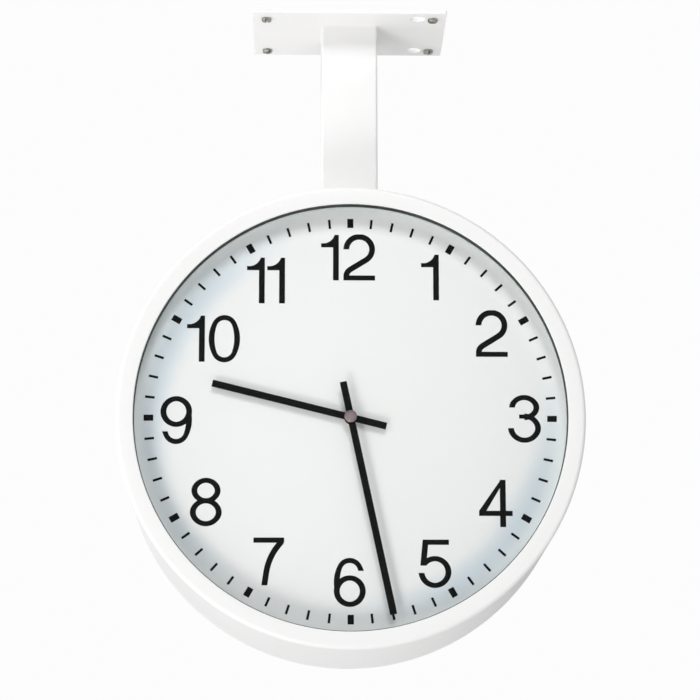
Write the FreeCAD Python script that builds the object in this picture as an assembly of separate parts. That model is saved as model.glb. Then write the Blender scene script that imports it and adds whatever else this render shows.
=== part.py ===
import FreeCAD, Part
import math
import os
from FreeCAD import Vector

# Double sided station clock, hung from a ceiling: a round sheet metal case with a dial, glass and
# quartz movement on each side, on a square tube arm under a rectangular ceiling plate.
# Millimetres. The origin is the centre of the ceiling plate's top face, +Z up, +X to the right
# of someone facing the front dial, which looks along -Y. The rear side is the front one turned
# half a turn about Z. Everything on a side is first built in that side's own frame: x to the
# right, y up, z towards the viewer, from the point where the clock axis meets the ring's face.
# A depth is counted inwards from the face of the ring.

# ---- driving dimensions ----

# Case, arm and ceiling plate
CASE_R = 200.0
CASE_DEPTH = 158.0
CASE_WALL = 1.5
AXIS_DROP = 366.0            # from the ceiling plate's underside to the clock axis
PLATE_X = 172.0
PLATE_Y = 114.0
PLATE_T = 3.0
PLATE_CORNER_R = 2.0
ARM_W = 50.0
ARM_WALL = 2.0
ARM_CORNER_R = 2.5
ARM_CUTOUT_GAP = 0.3
SCREW_SPACING_X = 148.0
SCREW_SPACING_Y = 85.0
SCREW_R = 2.4
SCREW_NECK_R = 2.6           # plain neck inside the plate's hole
SCREW_HOLE_R = 2.75
SCREW_HEAD_R = 4.4
SCREW_HEAD_T = 3.2
SCREW_HEAD_ROUND = 1.2
SCREW_SLOT_W = 1.2
SCREW_SLOT_DEPTH = 1.6
SCREW_REACH = 4.0            # threaded end above the plate
SCREW_TIP = 0.6
SCREW_TIP_R = 1.9
SLOT_ANGLES = (125.0, 60.0, 160.0, 35.0)
SPARE_HOLE_R = 6.5
SPARE_HOLE_INSET = 13.5      # from the right hand screws towards the middle

# Arm foot and saddle inside the case
FOOT_X = 92.0
FOOT_Y = 80.0
FOOT_T = 4.0
FOOT_DEPTH = 28.0            # top of the case down to the foot's upper face
SADDLE_X = 120.0
SADDLE_T = 3.0
SADDLE_FLANGE = 20.0
FOOT_BOLT_X = 35.0
FOOT_BOLT_Y = 31.0
FOOT_BOLT_R = 3.0
FOOT_BOLT_HOLE_R = 3.3
FOOT_BOLT_HEAD_R = 5.5
FOOT_BOLT_HEAD_T = 4.0
FOOT_NUT_T = 5.0
FOOT_BOLT_TAIL = 2.0

# Ring, seal, glass, spacer, dial and the steel ring that the dial lies on
RING_FACE = 15.0
RING_SHEET = 2.0
RING_SKIRT = 14.0
RING_ROUND = 3.5
RING_LIP_ROUND = 0.8
SEAM = 0.3
SEAL_PROUD = 0.7
SEAL_FRONT_LEG = 1.0
SEAL_BACK_LEG = 3.5
SEAL_GRIP = 5.2
SEAL_WEB = 1.5
GLASS_T = 3.0
GLASS_EDGE_GAP = 0.3
SPACER_SETBACK = 1.0
SPACER_W = 5.0
SPACER_DEPTH = 10.5
DIAL_T = 1.0
DIAL_LAP = 7.5               # the dial's edge beyond the ring's opening
DIAL_HOLE_GAP = 0.1
MOUNT_RING_T = 1.5
MOUNT_RING_W = 38.0
CLIP_COUNT = 4
CLIP_FIRST_ANGLE = 45.0
CLIP_W = 12.0
CLIP_T = 1.0
CLIP_FOOT_GAP = 0.5
CLIP_BACKSET = 0.6
CLIP_GAP = 0.15
CLIP_TOP_DEPTH = 6.0
CLIP_BEND = 3.0

# Printing on the dial
INK_T = 0.1
MARK_INSET = 12.3            # from the ring's opening to the middle of the marks
MARK_L = 8.2
MINUTE_MARK_W = 2.1
HOUR_MARK_W = 5.3
MARK_COUNT = 60
NUMERAL_INSET = 30.1         # from the middle of the marks to the middle of a numeral
SIDE_NUMERAL_INSET = 23.7    # 3 and 9
TEN_INSET = 35.7
DIGIT_H = 40.7
DIGIT_OVERSHOOT = 0.5
STEM = 5.0
BAR = 4.4
THIN_BAR = 3.6
ROUND_DIGIT_W = 27.0
ONE_W = 15.4
ELEVEN_PITCH = 17.5
TEN_GAP = 3.3
TWELVE_GAP = 4.0
OVAL_FULLNESS = 0.82
# How far right and up a numeral is printed from its even place round the dial
NUMERAL_SHIFT = {
    1: (-2.3, 1.1), 2: (-1.7, 3.4), 4: (0.0, -2.1), 5: (0.0, -1.5), 6: (-0.8, 1.4), 7: (2.0, 0.0),
    8: (0.6, -1.5), 9: (0.0, -2.0), 10: (0.8, 1.0), 11: (-1.7, -2.2), 12: (-2.0, -0.6),
}

# Hands and cap
MINUTE_HAND_LAP = 0.3        # past the middle of the marks
HOUR_HAND_SHORTER = 51.0
HOUR_HAND_TAIL = 31.5
MINUTE_HAND_TAIL = 31.0
HAND_W = 6.0
HAND_T = 0.8
HAND_HUB_R = 5.5
HAND_HUB_T = 1.6
HOUR_HAND_ANGLE = 284.0      # clockwise from 12
MINUTE_HAND_ANGLE = 168.0
HAND_GAP = 1.8               # between the two hubs
HUB_TO_BUSH = 0.6
CAP_R = 5.4
CAP_EDGE = 0.6
CAP_H = 2.8
CAP_SOCKET = 1.2

# Movement housing, fixed through the dial by its threaded bush
GASKET_T = 1.0
GASKET_R = 12.0
BUSH_R = 4.0
BUSH_STAND = 3.2             # in front of the dial
WASHER_T = 0.6
WASHER_R = 5.5
NUT_T = 2.0
NUT_R = 5.5
HOUSING_TOP = 25.0
HOUSING_BOTTOM = 38.0
HOUSING_DEPTH = 19.0
HOUSING_WALL = 1.5
COVER_T = 1.5
BATTERY_R = 7.25
BATTERY_L = 50.5
BATTERY_NUB_R = 2.7
BATTERY_NUB_L = 1.2
BATTERY_GAP = 0.3
CONTACT_T = 0.5
CONTACT_R = 4.0
CONTACT_REACH = 1.25         # from each contact strip to the battery's end
HOUSING_HALF_W = BATTERY_L / 2 + CONTACT_REACH + CONTACT_T + HOUSING_WALL

# Wheels. A running fit is RUN on the radius.
RUN = 0.06
END_PLAY = 0.2
PIVOT_R = 0.35
PIVOT_L = 0.8
ARBOR_R = 0.6
ROTOR_ARBOR_R = 0.45
MINUTE_ARBOR_R = 1.0
MINUTE_PIVOT_R = 0.6
HOUR_PIPE_WALL = 1.1
GEAR_T = 1.2
LEVEL_GAP = 0.8
FIRST_LEVEL_GAP = 0.4
MOTION_MODULE = 0.35         # hour wheel and minute pinion
HOUR_TEETH = 40
MINUTE_PINION_TEETH = 10
MINUTE_WHEEL_TEETH = 36
CANNON_TEETH = 12            # also the setting pinion
CENTRE_MODULE = 0.30
CENTRE_TEETH = 80
TRAIN_PINION_TEETH = 8
ROTOR_MODULE = 0.25
INTERMEDIATE_TEETH = 72
HUB_EXTRA_R = 1.0
PRESSURE_ANGLE = math.radians(20.0)
WHEEL_ADDENDUM = 0.75        # in modules
PINION_ADDENDUM = 0.8
DEDENDUM = 1.3
BACKLASH = 0.16              # in modules
MOTION_DIRECTION = 150.0     # from the axis to the minute wheel and on to the setting pinion
TRAIN_DIRECTION = 20.0       # from the axis to the intermediate wheel
ROTOR_DIRECTION = 50.0       # from the intermediate wheel to the rotor
SETTING_SHAFT_R = 1.2
KNOB_R = 5.0
KNOB_T = 5.0
KNOB_CLEARANCE = 0.3
KNOB_RIBS = 24
KNOB_RIB_DEPTH = 0.4

# Stepping motor and circuit board
MAGNET_R = 3.0
MAGNET_T = 3.0
STATOR_GAP = 0.6
STATOR_T = 1.4
STATOR_LEFT = 22.0
STATOR_LEG_W = 2.5
STATOR_LEG_Y = 10.8
STATOR_TOP_Y = 19.7
STATOR_BLOCK = 5.6           # half width of the block round the rotor
COIL_R = 4.2
COIL_FLANGE_T = 1.0
COIL_L = 26.0
COIL_WINDING_INSET = 0.7
COIL_BORE_GAP = 0.05
BOARD_T = 1.0
BOARD_X = (4.0, 26.0)
BOARD_Y = (-17.5, 0.5)
BOARD_DEPTH = 11.0           # behind the housing's face
CHIP_R = 3.0
CHIP_T = 1.2
CRYSTAL_R = 1.0
CRYSTAL_L = 6.0
POST_R = 1.5
POST_INSET = 2.0

# ---- places worked out from them ----
AXIS_Z = -(PLATE_T + AXIS_DROP)
RING_OPENING_R = CASE_R - RING_FACE
DIAL_R = RING_OPENING_R + DIAL_LAP
MARK_R = RING_OPENING_R - MARK_INSET
MINUTE_HAND_L = MARK_R + MINUTE_HAND_LAP
HOUR_HAND_L = MINUTE_HAND_L - HOUR_HAND_SHORTER
SKIRT_INNER_R = CASE_R - RING_SHEET
DRUM_INNER_R = CASE_R - CASE_WALL
SEAL_R = RING_OPENING_R - SEAL_PROUD
SEAL_OUTER_R = SEAL_R + SEAL_GRIP + SEAL_WEB
GLASS_R = SEAL_R + SEAL_GRIP - GLASS_EDGE_GAP
SPACER_R = RING_OPENING_R + SPACER_SETBACK
GLASS_DEPTH = RING_SHEET + SEAL_FRONT_LEG
SPACER_START = GLASS_DEPTH + GLASS_T + SEAL_BACK_LEG
DIAL_DEPTH = SPACER_START + SPACER_DEPTH
DIAL_BACK = DIAL_DEPTH + DIAL_T
MOUNT_RING_BACK = DIAL_BACK + MOUNT_RING_T
HOUSING_FACE = DIAL_BACK + GASKET_T
HOUSING_INSIDE = HOUSING_FACE + HOUSING_WALL
COVER_DEPTH = HOUSING_FACE + HOUSING_DEPTH - COVER_T
COVER_BACK = COVER_DEPTH + COVER_T
FOOT_TOP_Z = AXIS_Z + CASE_R - FOOT_DEPTH
SADDLE_TOP_Z = FOOT_TOP_Z - FOOT_T

HOUR_PIPE_BORE = MINUTE_ARBOR_R + RUN
HOUR_PIPE_R = HOUR_PIPE_BORE + HOUR_PIPE_WALL
BUSH_BORE = HOUR_PIPE_R + RUN
BUSH_END = DIAL_DEPTH - BUSH_STAND
HOUR_HUB_BACK = BUSH_END - HUB_TO_BUSH
HOUR_HUB_FRONT = HOUR_HUB_BACK - HAND_HUB_T
MINUTE_HUB_BACK = HOUR_HUB_FRONT - HAND_GAP
MINUTE_HUB_FRONT = MINUTE_HUB_BACK - HAND_HUB_T
CAP_FRONT = MINUTE_HUB_FRONT - CAP_H

MOTION_LEVEL = HOUSING_INSIDE + FIRST_LEVEL_GAP
CANNON_LEVEL = MOTION_LEVEL + GEAR_T + LEVEL_GAP
CENTRE_LEVEL = CANNON_LEVEL + GEAR_T + LEVEL_GAP
TRAIN_LEVEL = CENTRE_LEVEL + GEAR_T + LEVEL_GAP
MAGNET_LEVEL = TRAIN_LEVEL + GEAR_T + LEVEL_GAP
STATOR_LEVEL = MAGNET_LEVEL + (MAGNET_T - STATOR_T) / 2

MOTION_DISTANCE = MOTION_MODULE * (HOUR_TEETH + MINUTE_PINION_TEETH) / 2
CANNON_MODULE = 2 * MOTION_DISTANCE / (MINUTE_WHEEL_TEETH + CANNON_TEETH)
TRAIN_DISTANCE = CENTRE_MODULE * (CENTRE_TEETH + TRAIN_PINION_TEETH) / 2
ROTOR_DISTANCE = ROTOR_MODULE * (INTERMEDIATE_TEETH + TRAIN_PINION_TEETH) / 2


def polar(start, distance, degrees):
    """The point at a distance and direction from start."""
    angle = math.radians(degrees)
    return (start[0] + distance * math.cos(angle), start[1] + distance * math.sin(angle))


AXIS = (0.0, 0.0)
MINUTE_WHEEL_AT = polar(AXIS, MOTION_DISTANCE, MOTION_DIRECTION)
SETTING_AT = polar(MINUTE_WHEEL_AT, MOTION_DISTANCE, MOTION_DIRECTION)
INTERMEDIATE_AT = polar(AXIS, TRAIN_DISTANCE, TRAIN_DIRECTION)
ROTOR_AT = polar(INTERMEDIATE_AT, ROTOR_DISTANCE, ROTOR_DIRECTION)
BAY_H = 2 * (BATTERY_R + BATTERY_GAP)
BAY_TOP = -HOUSING_BOTTOM + HOUSING_WALL + BAY_H
BATTERY_Y = BAY_TOP - BAY_H / 2
BATTERY_DEPTH = HOUSING_INSIDE + BATTERY_GAP + BATTERY_R


# ---- building blocks in a side's own frame ----

def rod(radius, near, far, at=AXIS):
    """A round bar along the view, between two depths."""
    return Part.makeCylinder(radius, far - near, Vector(at[0], at[1], -far))


def tube(outer, bore, near, far, at=AXIS):
    return rod(outer, near, far, at).cut(rod(bore, near - 1, far + 1, at))


def block(x0, x1, y0, y1, near, far):
    return Part.makeBox(x1 - x0, y1 - y0, far - near, Vector(x0, y0, -far))


def rounded_outline(corners):
    """A closed wire through (x, y, radius) corners, each rounded by its radius."""
    edges = []
    starts = []
    count = len(corners)
    for i in range(count):
        x, y, radius = corners[i]
        here = Vector(x, y, 0)
        before = Vector(corners[i - 1][0], corners[i - 1][1], 0)
        after = Vector(corners[(i + 1) % count][0], corners[(i + 1) % count][1], 0)
        if radius == 0:
            starts.append((here, here, None))
            continue
        back = (before - here).normalize()
        onward = (after - here).normalize()
        half = back.getAngle(onward) / 2
        reach = radius / math.tan(half)
        middle = (back + onward).normalize()
        crown = here + middle * (radius / math.sin(half) - radius)
        starts.append((here + back * reach, here + onward * reach, crown))
    for i in range(count):
        enter, leave, crown = starts[i]
        if crown is not None:
            edges.append(Part.Arc(enter, crown, leave).toShape())
        following = starts[(i + 1) % count][0]
        if leave.distanceToPoint(following) > 1e-6:
            edges.append(Part.LineSegment(leave, following).toShape())
    return Part.Wire(edges)


def plate(corners, near, far):
    """A flat piece of the given outline between two depths."""
    face = Part.Face(rounded_outline(corners))
    face.translate(Vector(0, 0, -far))
    return face.extrude(Vector(0, 0, far - near))


def turned(profile):
    """A solid of revolution about the view axis from (radius, depth, corner radius) points."""
    wire = rounded_outline([(r, -d, rounding) for r, d, rounding in profile])
    face = Part.Face(wire)
    face.rotate(Vector(0, 0, 0), Vector(1, 0, 0), 90)
    return face.revolve(Vector(0, 0, 0), Vector(0, 0, 1), 360)


def fused(pieces):
    whole = pieces[0]
    for piece in pieces[1:]:
        whole = whole.fuse(piece)
    return whole.removeSplitter()


# ---- toothed wheels ----

def involute(angle):
    return math.tan(angle) - angle


def toothed(teeth, module, addendum, phase, near, far, at):
    """A spur wheel with involute flanks; phase is the direction of one tooth, in degrees."""
    pitch_r = module * teeth / 2
    base_r = pitch_r * math.cos(PRESSURE_ANGLE)
    tip_r = pitch_r + addendum * module
    root_r = pitch_r - DEDENDUM * module
    half_at_pitch = math.pi / (2 * teeth) - BACKLASH * module / (2 * pitch_r)
    flank = []
    for radius in (base_r, (base_r + pitch_r) / 2, pitch_r, (pitch_r + tip_r) / 2, tip_r):
        spread = involute(PRESSURE_ANGLE) - involute(math.acos(base_r / radius))
        flank.append((max(radius, root_r), half_at_pitch + spread))
    if root_r < base_r:
        flank.insert(0, (root_r, flank[0][1]))
    points = []
    for k in range(teeth):
        centre = math.radians(phase) + 2 * math.pi * k / teeth
        sides = [(r, centre - half) for r, half in flank]
        sides += [(r, centre + half) for r, half in reversed(flank)]
        points += [Vector(at[0] + r * math.cos(a), at[1] + r * math.sin(a), -far) for r, a in sides]
    points.append(points[0])
    return Part.Face(Part.makePolygon(points)).extrude(Vector(0, 0, far - near))


def meshing_phase(phase, teeth, direction, other_teeth):
    """The phase of a wheel that meshes with one of the given phase, in that direction."""
    step = 360.0 / teeth
    offset = (phase - direction) % step
    return direction + 180 - offset * teeth / other_teeth + 180.0 / other_teeth


def arbor(at, shaft_r=ARBOR_R):
    """A shaft with a pivot at each end, in the housing's front wall and in the cover."""
    near = HOUSING_INSIDE + END_PLAY
    far = COVER_DEPTH - END_PLAY
    pivots = rod(PIVOT_R, near - END_PLAY - PIVOT_L, far + END_PLAY + PIVOT_L, at)
    return fused([rod(shaft_r, near, far, at), pivots])


# ---- case, arm and ceiling plate, in the clock's frame ----

def square_tube(width, wall, low, high):
    outer = Part.makeBox(width, width, high - low, Vector(-width / 2, -width / 2, low))
    outer = outer.makeFillet(ARM_CORNER_R, [e for e in outer.Edges if upright(e)])
    inside = width - 2 * wall
    bore = Part.makeBox(inside, inside, high - low, Vector(-inside / 2, -inside / 2, low))
    return outer.cut(bore)


def upright(edge):
    return abs(edge.tangentAt(edge.FirstParameter).z) > 0.99


def screw_places():
    xs = (-SCREW_SPACING_X / 2, SCREW_SPACING_X / 2)
    ys = (-SCREW_SPACING_Y / 2, SCREW_SPACING_Y / 2)
    return [(x, y) for x in xs for y in ys]


def ceiling_plate():
    sheet = Part.makeBox(PLATE_X, PLATE_Y, PLATE_T, Vector(-PLATE_X / 2, -PLATE_Y / 2, -PLATE_T))
    sheet = sheet.makeFillet(PLATE_CORNER_R, [e for e in sheet.Edges if upright(e)])
    for x, y in screw_places():
        sheet = sheet.cut(Part.makeCylinder(SCREW_HOLE_R, PLATE_T + 2, Vector(x, y, -PLATE_T - 1)))
    spare_x = SCREW_SPACING_X / 2 - SPARE_HOLE_INSET
    for y in (-SCREW_SPACING_Y / 2, SCREW_SPACING_Y / 2):
        hole = Part.makeCylinder(SPARE_HOLE_R, PLATE_T + 2, Vector(spare_x, y, -PLATE_T - 1))
        sheet = sheet.cut(hole)
    return sheet


def ceiling_screw(x, y, slot_angle):
    """A short slotted machine screw, up through the plate into a threaded insert above it."""
    head = Part.makeCylinder(SCREW_HEAD_R, SCREW_HEAD_T, Vector(0, 0, -PLATE_T - SCREW_HEAD_T))
    low_edges = [e for e in head.Edges if e.BoundBox.ZMax < -PLATE_T - SCREW_HEAD_T + 1e-6]
    head = head.makeFillet(SCREW_HEAD_ROUND, low_edges)
    slot = Part.makeBox(2 * SCREW_HEAD_R, SCREW_SLOT_W, SCREW_SLOT_DEPTH)
    slot.translate(Vector(-SCREW_HEAD_R, -SCREW_SLOT_W / 2, -PLATE_T - SCREW_HEAD_T))
    slot.rotate(Vector(0, 0, 0), Vector(0, 0, 1), slot_angle)
    neck = Part.makeCylinder(SCREW_NECK_R, PLATE_T, Vector(0, 0, -PLATE_T))
    shank = Part.makeCylinder(SCREW_R, SCREW_REACH - SCREW_TIP)
    tip = Part.makeCone(SCREW_R, SCREW_TIP_R, SCREW_TIP, Vector(0, 0, SCREW_REACH - SCREW_TIP))
    screw = fused([head.cut(slot), neck, shank, tip])
    screw.translate(Vector(x, y, 0))
    return screw


def arm_foot():
    """Plate welded to the lower end of the arm, with a hole for each bolt."""
    low = FOOT_TOP_Z - FOOT_T
    foot = Part.makeBox(FOOT_X, FOOT_Y, FOOT_T, Vector(-FOOT_X / 2, -FOOT_Y / 2, low))
    return pierced(foot, low, FOOT_T)


def pierced(sheet, low, thickness):
    for x, y in bolt_places():
        sheet = sheet.cut(Part.makeCylinder(FOOT_BOLT_HOLE_R, thickness + 2, Vector(x, y, low - 1)))
    return sheet


def bolt_places():
    return [(x, y) for x in (-FOOT_BOLT_X, FOOT_BOLT_X) for y in (-FOOT_BOLT_Y, FOOT_BOLT_Y)]


def saddle_bracket():
    """Channel between the two mount rings; its ends are turned down and welded to them."""
    length = CASE_DEPTH - 2 * MOUNT_RING_BACK
    low = SADDLE_TOP_Z - SADDLE_T
    top = Part.makeBox(SADDLE_X, length, SADDLE_T, Vector(-SADDLE_X / 2, -length / 2, low))
    pieces = [pierced(top, low, SADDLE_T)]
    for y in (-length / 2, length / 2 - SADDLE_T):
        corner = Vector(-SADDLE_X / 2, y, SADDLE_TOP_Z - SADDLE_FLANGE)
        pieces.append(Part.makeBox(SADDLE_X, SADDLE_T, SADDLE_FLANGE, corner))
    return fused(pieces)


def hexagon_prism(across_corners_r, x, y, low, height):
    corners = [polar((x, y), across_corners_r, 60 * k) for k in range(7)]
    outline = Part.makePolygon([Vector(cx, cy, low) for cx, cy in corners])
    return Part.Face(outline).extrude(Vector(0, 0, height))


def foot_bolt(x, y):
    grip = FOOT_T + SADDLE_T + FOOT_NUT_T + FOOT_BOLT_TAIL
    shank = Part.makeCylinder(FOOT_BOLT_R, grip, Vector(x, y, FOOT_TOP_Z - grip))
    return fused([hexagon_prism(FOOT_BOLT_HEAD_R, x, y, FOOT_TOP_Z, FOOT_BOLT_HEAD_T), shank])


def foot_nut(x, y):
    low = SADDLE_TOP_Z - SADDLE_T - FOOT_NUT_T
    body = hexagon_prism(FOOT_BOLT_HEAD_R, x, y, low, FOOT_NUT_T)
    return body.cut(Part.makeCylinder(FOOT_BOLT_R, FOOT_NUT_T, Vector(x, y, low)))


def case_drum():
    """Rolled sheet drum between the two rings, with the square cut-out for the arm."""
    edge = RING_SKIRT + SEAM
    drum = place_front(tube(CASE_R, DRUM_INNER_R, edge, CASE_DEPTH - edge))
    width = ARM_W + 2 * ARM_CUTOUT_GAP
    cutter = Part.makeBox(width, width, CASE_R, Vector(-width / 2, -width / 2, AXIS_Z))
    return drum.cut(cutter)


# ---- ring, glass and dial ----

def bezel():
    """Pressed ring: a flat face with a rounded outer corner and a skirt as wide as the drum."""
    return turned([
        (RING_OPENING_R, 0, RING_LIP_ROUND),
        (CASE_R, 0, RING_ROUND),
        (CASE_R, RING_SKIRT, 0),
        (SKIRT_INNER_R, RING_SKIRT, 0),
        (SKIRT_INNER_R, RING_SHEET, RING_ROUND - RING_SHEET),
        (RING_OPENING_R, RING_SHEET, 0),
    ])


def glass_seal():
    """Rubber channel round the edge of the glass, open towards the middle."""
    groove_r = SEAL_OUTER_R - SEAL_WEB
    return turned([
        (SEAL_R, RING_SHEET, 0),
        (SEAL_OUTER_R, RING_SHEET, 0),
        (SEAL_OUTER_R, SPACER_START, 0),
        (SEAL_R, SPACER_START, 0),
        (SEAL_R, GLASS_DEPTH + GLASS_T, 0),
        (groove_r, GLASS_DEPTH + GLASS_T, 0),
        (groove_r, GLASS_DEPTH, 0),
        (SEAL_R, GLASS_DEPTH, 0),
    ])


def bezel_clip(degrees):
    """Spring strip standing on the mount ring, bowed out against the ring's skirt."""
    crest = SKIRT_INNER_R - CLIP_GAP
    back = crest - CLIP_BACKSET
    foot = DIAL_R + CLIP_FOOT_GAP
    bend = CLIP_TOP_DEPTH + CLIP_BEND
    outline = [
        (foot, DIAL_BACK), (back, DIAL_BACK), (back, bend + CLIP_BEND), (crest, bend),
        (back, CLIP_TOP_DEPTH), (back - CLIP_T, CLIP_TOP_DEPTH), (crest - CLIP_T, bend),
        (back - CLIP_T, bend + CLIP_BEND), (back - CLIP_T, DIAL_BACK - CLIP_T),
        (foot, DIAL_BACK - CLIP_T),
    ]
    points = [Vector(r, -CLIP_W / 2, -d) for r, d in outline]
    strip = Part.Face(Part.makePolygon(points + points[:1])).extrude(Vector(0, CLIP_W, 0))
    strip.rotate(Vector(0, 0, 0), Vector(0, 0, 1), degrees)
    return strip


def bezel_clips():
    return [bezel_clip(CLIP_FIRST_ANGLE + 360.0 * k / CLIP_COUNT) for k in range(CLIP_COUNT)]


# ---- printing: numerals and minute marks, as thin solids on the dial ----

INK_FACE = DIAL_DEPTH - INK_T
DIGIT_TOP = DIGIT_H / 2
ROUND_TOP = DIGIT_TOP + DIGIT_OVERSHOOT
WIDE = ROUND_DIGIT_W / 2


def area(x0, x1, y0, y1):
    return block(x0, x1, y0, y1, INK_FACE, DIAL_DEPTH)


def inked(corners):
    return plate([(x, y, 0) for x, y in corners], INK_FACE, DIAL_DEPTH)


def oval(y, half_w, half_h):
    """A closed oval of four tangent arcs."""
    upright_oval = half_h >= half_w
    long = max(half_w, half_h)
    short = min(half_w, half_h)
    end_r = OVAL_FULLNESS * short
    side_r = (short ** 2 + (long - end_r) ** 2 - end_r ** 2) / (2 * (short - end_r))
    lean = math.atan2(long - end_r, side_r - short)
    join = Vector(short - side_r + side_r * math.cos(lean), side_r * math.sin(lean), 0)
    corners = [Vector(join.x * right, join.y * up, 0) for right, up in ((1, 1), (-1, 1), (-1, -1), (1, -1))]
    crowns = [Vector(0, long, 0), Vector(-short, 0, 0), Vector(0, -long, 0), Vector(short, 0, 0)]
    arcs = [Part.Arc(corners[k], crowns[k], corners[(k + 1) % 4]).toShape() for k in range(4)]
    face = Part.Face(Part.Wire(arcs))
    if not upright_oval:
        face.rotate(Vector(0, 0, 0), Vector(0, 0, 1), 90)
    face.translate(Vector(0, y, -DIAL_DEPTH))
    return face.extrude(Vector(0, 0, INK_T))


def bowl(y, half_w, half_h):
    """A ring of the numerals' stroke widths."""
    return oval(y, half_w, half_h).cut(oval(y, half_w - STEM, half_h - BAR))


def sector(centre, radius, width, start, sweep):
    """Part of a round stroke, from a direction through a sweep, in degrees."""
    at = Vector(0, 0, -DIAL_DEPTH)
    up = Vector(0, 0, 1)
    outer = Part.makeCylinder(radius + width / 2, INK_T, at, up, sweep)
    piece = outer.cut(Part.makeCylinder(radius - width / 2, INK_T, at, up, 360))
    piece.rotate(Vector(0, 0, 0), up, start)
    piece.translate(Vector(centre[0], centre[1], 0))
    return piece


def stroke(start, heading, moves, width):
    """A stroke drawn as runs and turns: (length,) runs on, (radius, degrees) turns, + to the left."""
    pieces = []
    at = start
    for move in moves:
        if len(move) == 1:
            end = polar(at, move[0], heading)
            side = heading + 90
            corners = [polar(at, width / 2, side), polar(at, -width / 2, side)]
            corners += [polar(end, -width / 2, side), polar(end, width / 2, side)]
            pieces.append(inked(corners))
        else:
            radius, turn = move
            side = heading + math.copysign(90, turn)
            centre = polar(at, radius, side)
            first = side + 180
            pieces.append(sector(centre, radius, width, min(first, first + turn), abs(turn)))
            end = polar(centre, radius, first + turn)
            heading = heading + turn
        at = end
    return fused(pieces)


def digit_0():
    return bowl(0, WIDE, ROUND_TOP)


def digit_1():
    """A stem with a flag whose upper edge is a hollow curve."""
    right = ONE_W / 2
    left = right - STEM
    flag_low = DIGIT_TOP - 11.2
    flag_high = flag_low + THIN_BAR
    curve_start = Vector(right - THIN_BAR, DIGIT_TOP, 0)
    curve_middle = Vector(1.0, DIGIT_TOP - 5.0, 0)
    curve_end = Vector(-right + 3.0, flag_high, 0)
    corners = [
        (-right, flag_high), (-right, flag_low), (left, flag_low), (left, -DIGIT_TOP),
        (right, -DIGIT_TOP), (right, DIGIT_TOP),
    ]
    points = [curve_end] + [Vector(x, y, 0) for x, y in corners] + [curve_start]
    edges = [Part.LineSegment(points[k], points[k + 1]).toShape() for k in range(len(points) - 1)]
    edges.append(Part.Arc(curve_start, curve_middle, curve_end).toShape())
    face = Part.Face(Part.Wire(edges))
    face.translate(Vector(0, 0, -DIAL_DEPTH))
    return face.extrude(Vector(0, 0, INK_T))


def digit_2():
    """A round top, a slanting spine that turns down at its foot, and a base bar."""
    half_w = 13.7
    radius = half_w - STEM / 2
    top = ROUND_TOP - BAR / 2 - radius
    top_sweep = -238.0
    round_top = (radius, top_sweep)
    slant = (16.3,)
    foot = (7.2, 58.0)
    spine = stroke((-radius, top), 90, [round_top, slant, foot], STEM)
    spine = spine.common(area(-half_w, half_w, -DIGIT_TOP, ROUND_TOP))
    return fused([spine, area(-half_w, half_w, -DIGIT_TOP, -DIGIT_TOP + BAR)])


def digit_3():
    """Two bowls open to the left, with a short bar where they meet."""
    upper_h = 11.0
    lower_h = 12.7
    upper_half_w = 12.9
    lower_half_w = 14.1
    bar_reach = 4.5
    upper_y = ROUND_TOP - upper_h
    lower_y = lower_h - ROUND_TOP
    right_side = area(0, DIGIT_H, -DIGIT_H, DIGIT_H)
    upper_kept = fused([right_side, area(-DIGIT_H, 0, upper_y, DIGIT_H)])
    lower_kept = fused([right_side, area(-DIGIT_H, 0, -DIGIT_H, lower_y)])
    upper = bowl(upper_y, upper_half_w, upper_h).common(upper_kept)
    lower = bowl(lower_y, lower_half_w, lower_h).common(lower_kept)
    waist = lower_y + lower_h
    return fused([upper, lower, area(-bar_reach, 0, waist - BAR, waist - BAR + THIN_BAR)])


def digit_4():
    """A stem, a cross bar and a slanting stroke from the top of one to the end of the other."""
    half_w = 14.3
    stem_x = 3.6
    cross_y = -10.8
    slant_w = 7.2
    tip_w = 4.2
    slant = inked([
        (stem_x + STEM, DIGIT_TOP), (stem_x + STEM - tip_w, DIGIT_TOP), (-half_w, cross_y + BAR),
        (-half_w, cross_y), (-half_w + STEM, cross_y + BAR / 2), (stem_x, DIGIT_TOP - slant_w),
        (stem_x + STEM, DIGIT_TOP - slant_w),
    ])
    return fused([
        area(stem_x, stem_x + STEM, -DIGIT_TOP, DIGIT_TOP),
        area(-half_w, half_w, cross_y, cross_y + BAR),
        slant,
    ])


def digit_5():
    """A top bar, a leaning stem and a bowl open to the left."""
    half_w = 13.9
    bowl_h = 13.6
    hook_x = -12.2
    hook_rise = 5.4
    mouth_drop = 0.8
    bar_left = -10.2
    bar_right = 12.0
    lean = 2.2
    bowl_y = bowl_h - ROUND_TOP
    hook_y = bowl_y + hook_rise
    kept = fused([
        area(0, DIGIT_H, -DIGIT_H, DIGIT_H),
        area(-DIGIT_H, 0, -DIGIT_H, bowl_y - mouth_drop),
        area(hook_x, 0, hook_y, DIGIT_H),
    ])
    stem = inked([
        (bar_left, DIGIT_TOP), (bar_left - lean, hook_y), (bar_left - lean + STEM, hook_y),
        (bar_left + STEM, DIGIT_TOP),
    ])
    top_bar = area(bar_left, bar_right, DIGIT_TOP - BAR, DIGIT_TOP)
    return fused([top_bar, stem, bowl(bowl_y, half_w, bowl_h).common(kept)])


def digit_6():
    """A low bowl under a tall curve that ends in a level cut on the right."""
    bowl_h = 13.4
    bowl_y = bowl_h - ROUND_TOP
    cut_y = 9.8
    kept = fused([area(-DIGIT_H, 0, bowl_y, DIGIT_H), area(0, DIGIT_H, cut_y, DIGIT_H)])
    curve = bowl(0, WIDE, ROUND_TOP).common(kept)
    curve = curve.cut(oval(bowl_y, WIDE - STEM, bowl_h - BAR))
    return fused([curve, bowl(bowl_y, WIDE, bowl_h)])


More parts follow.
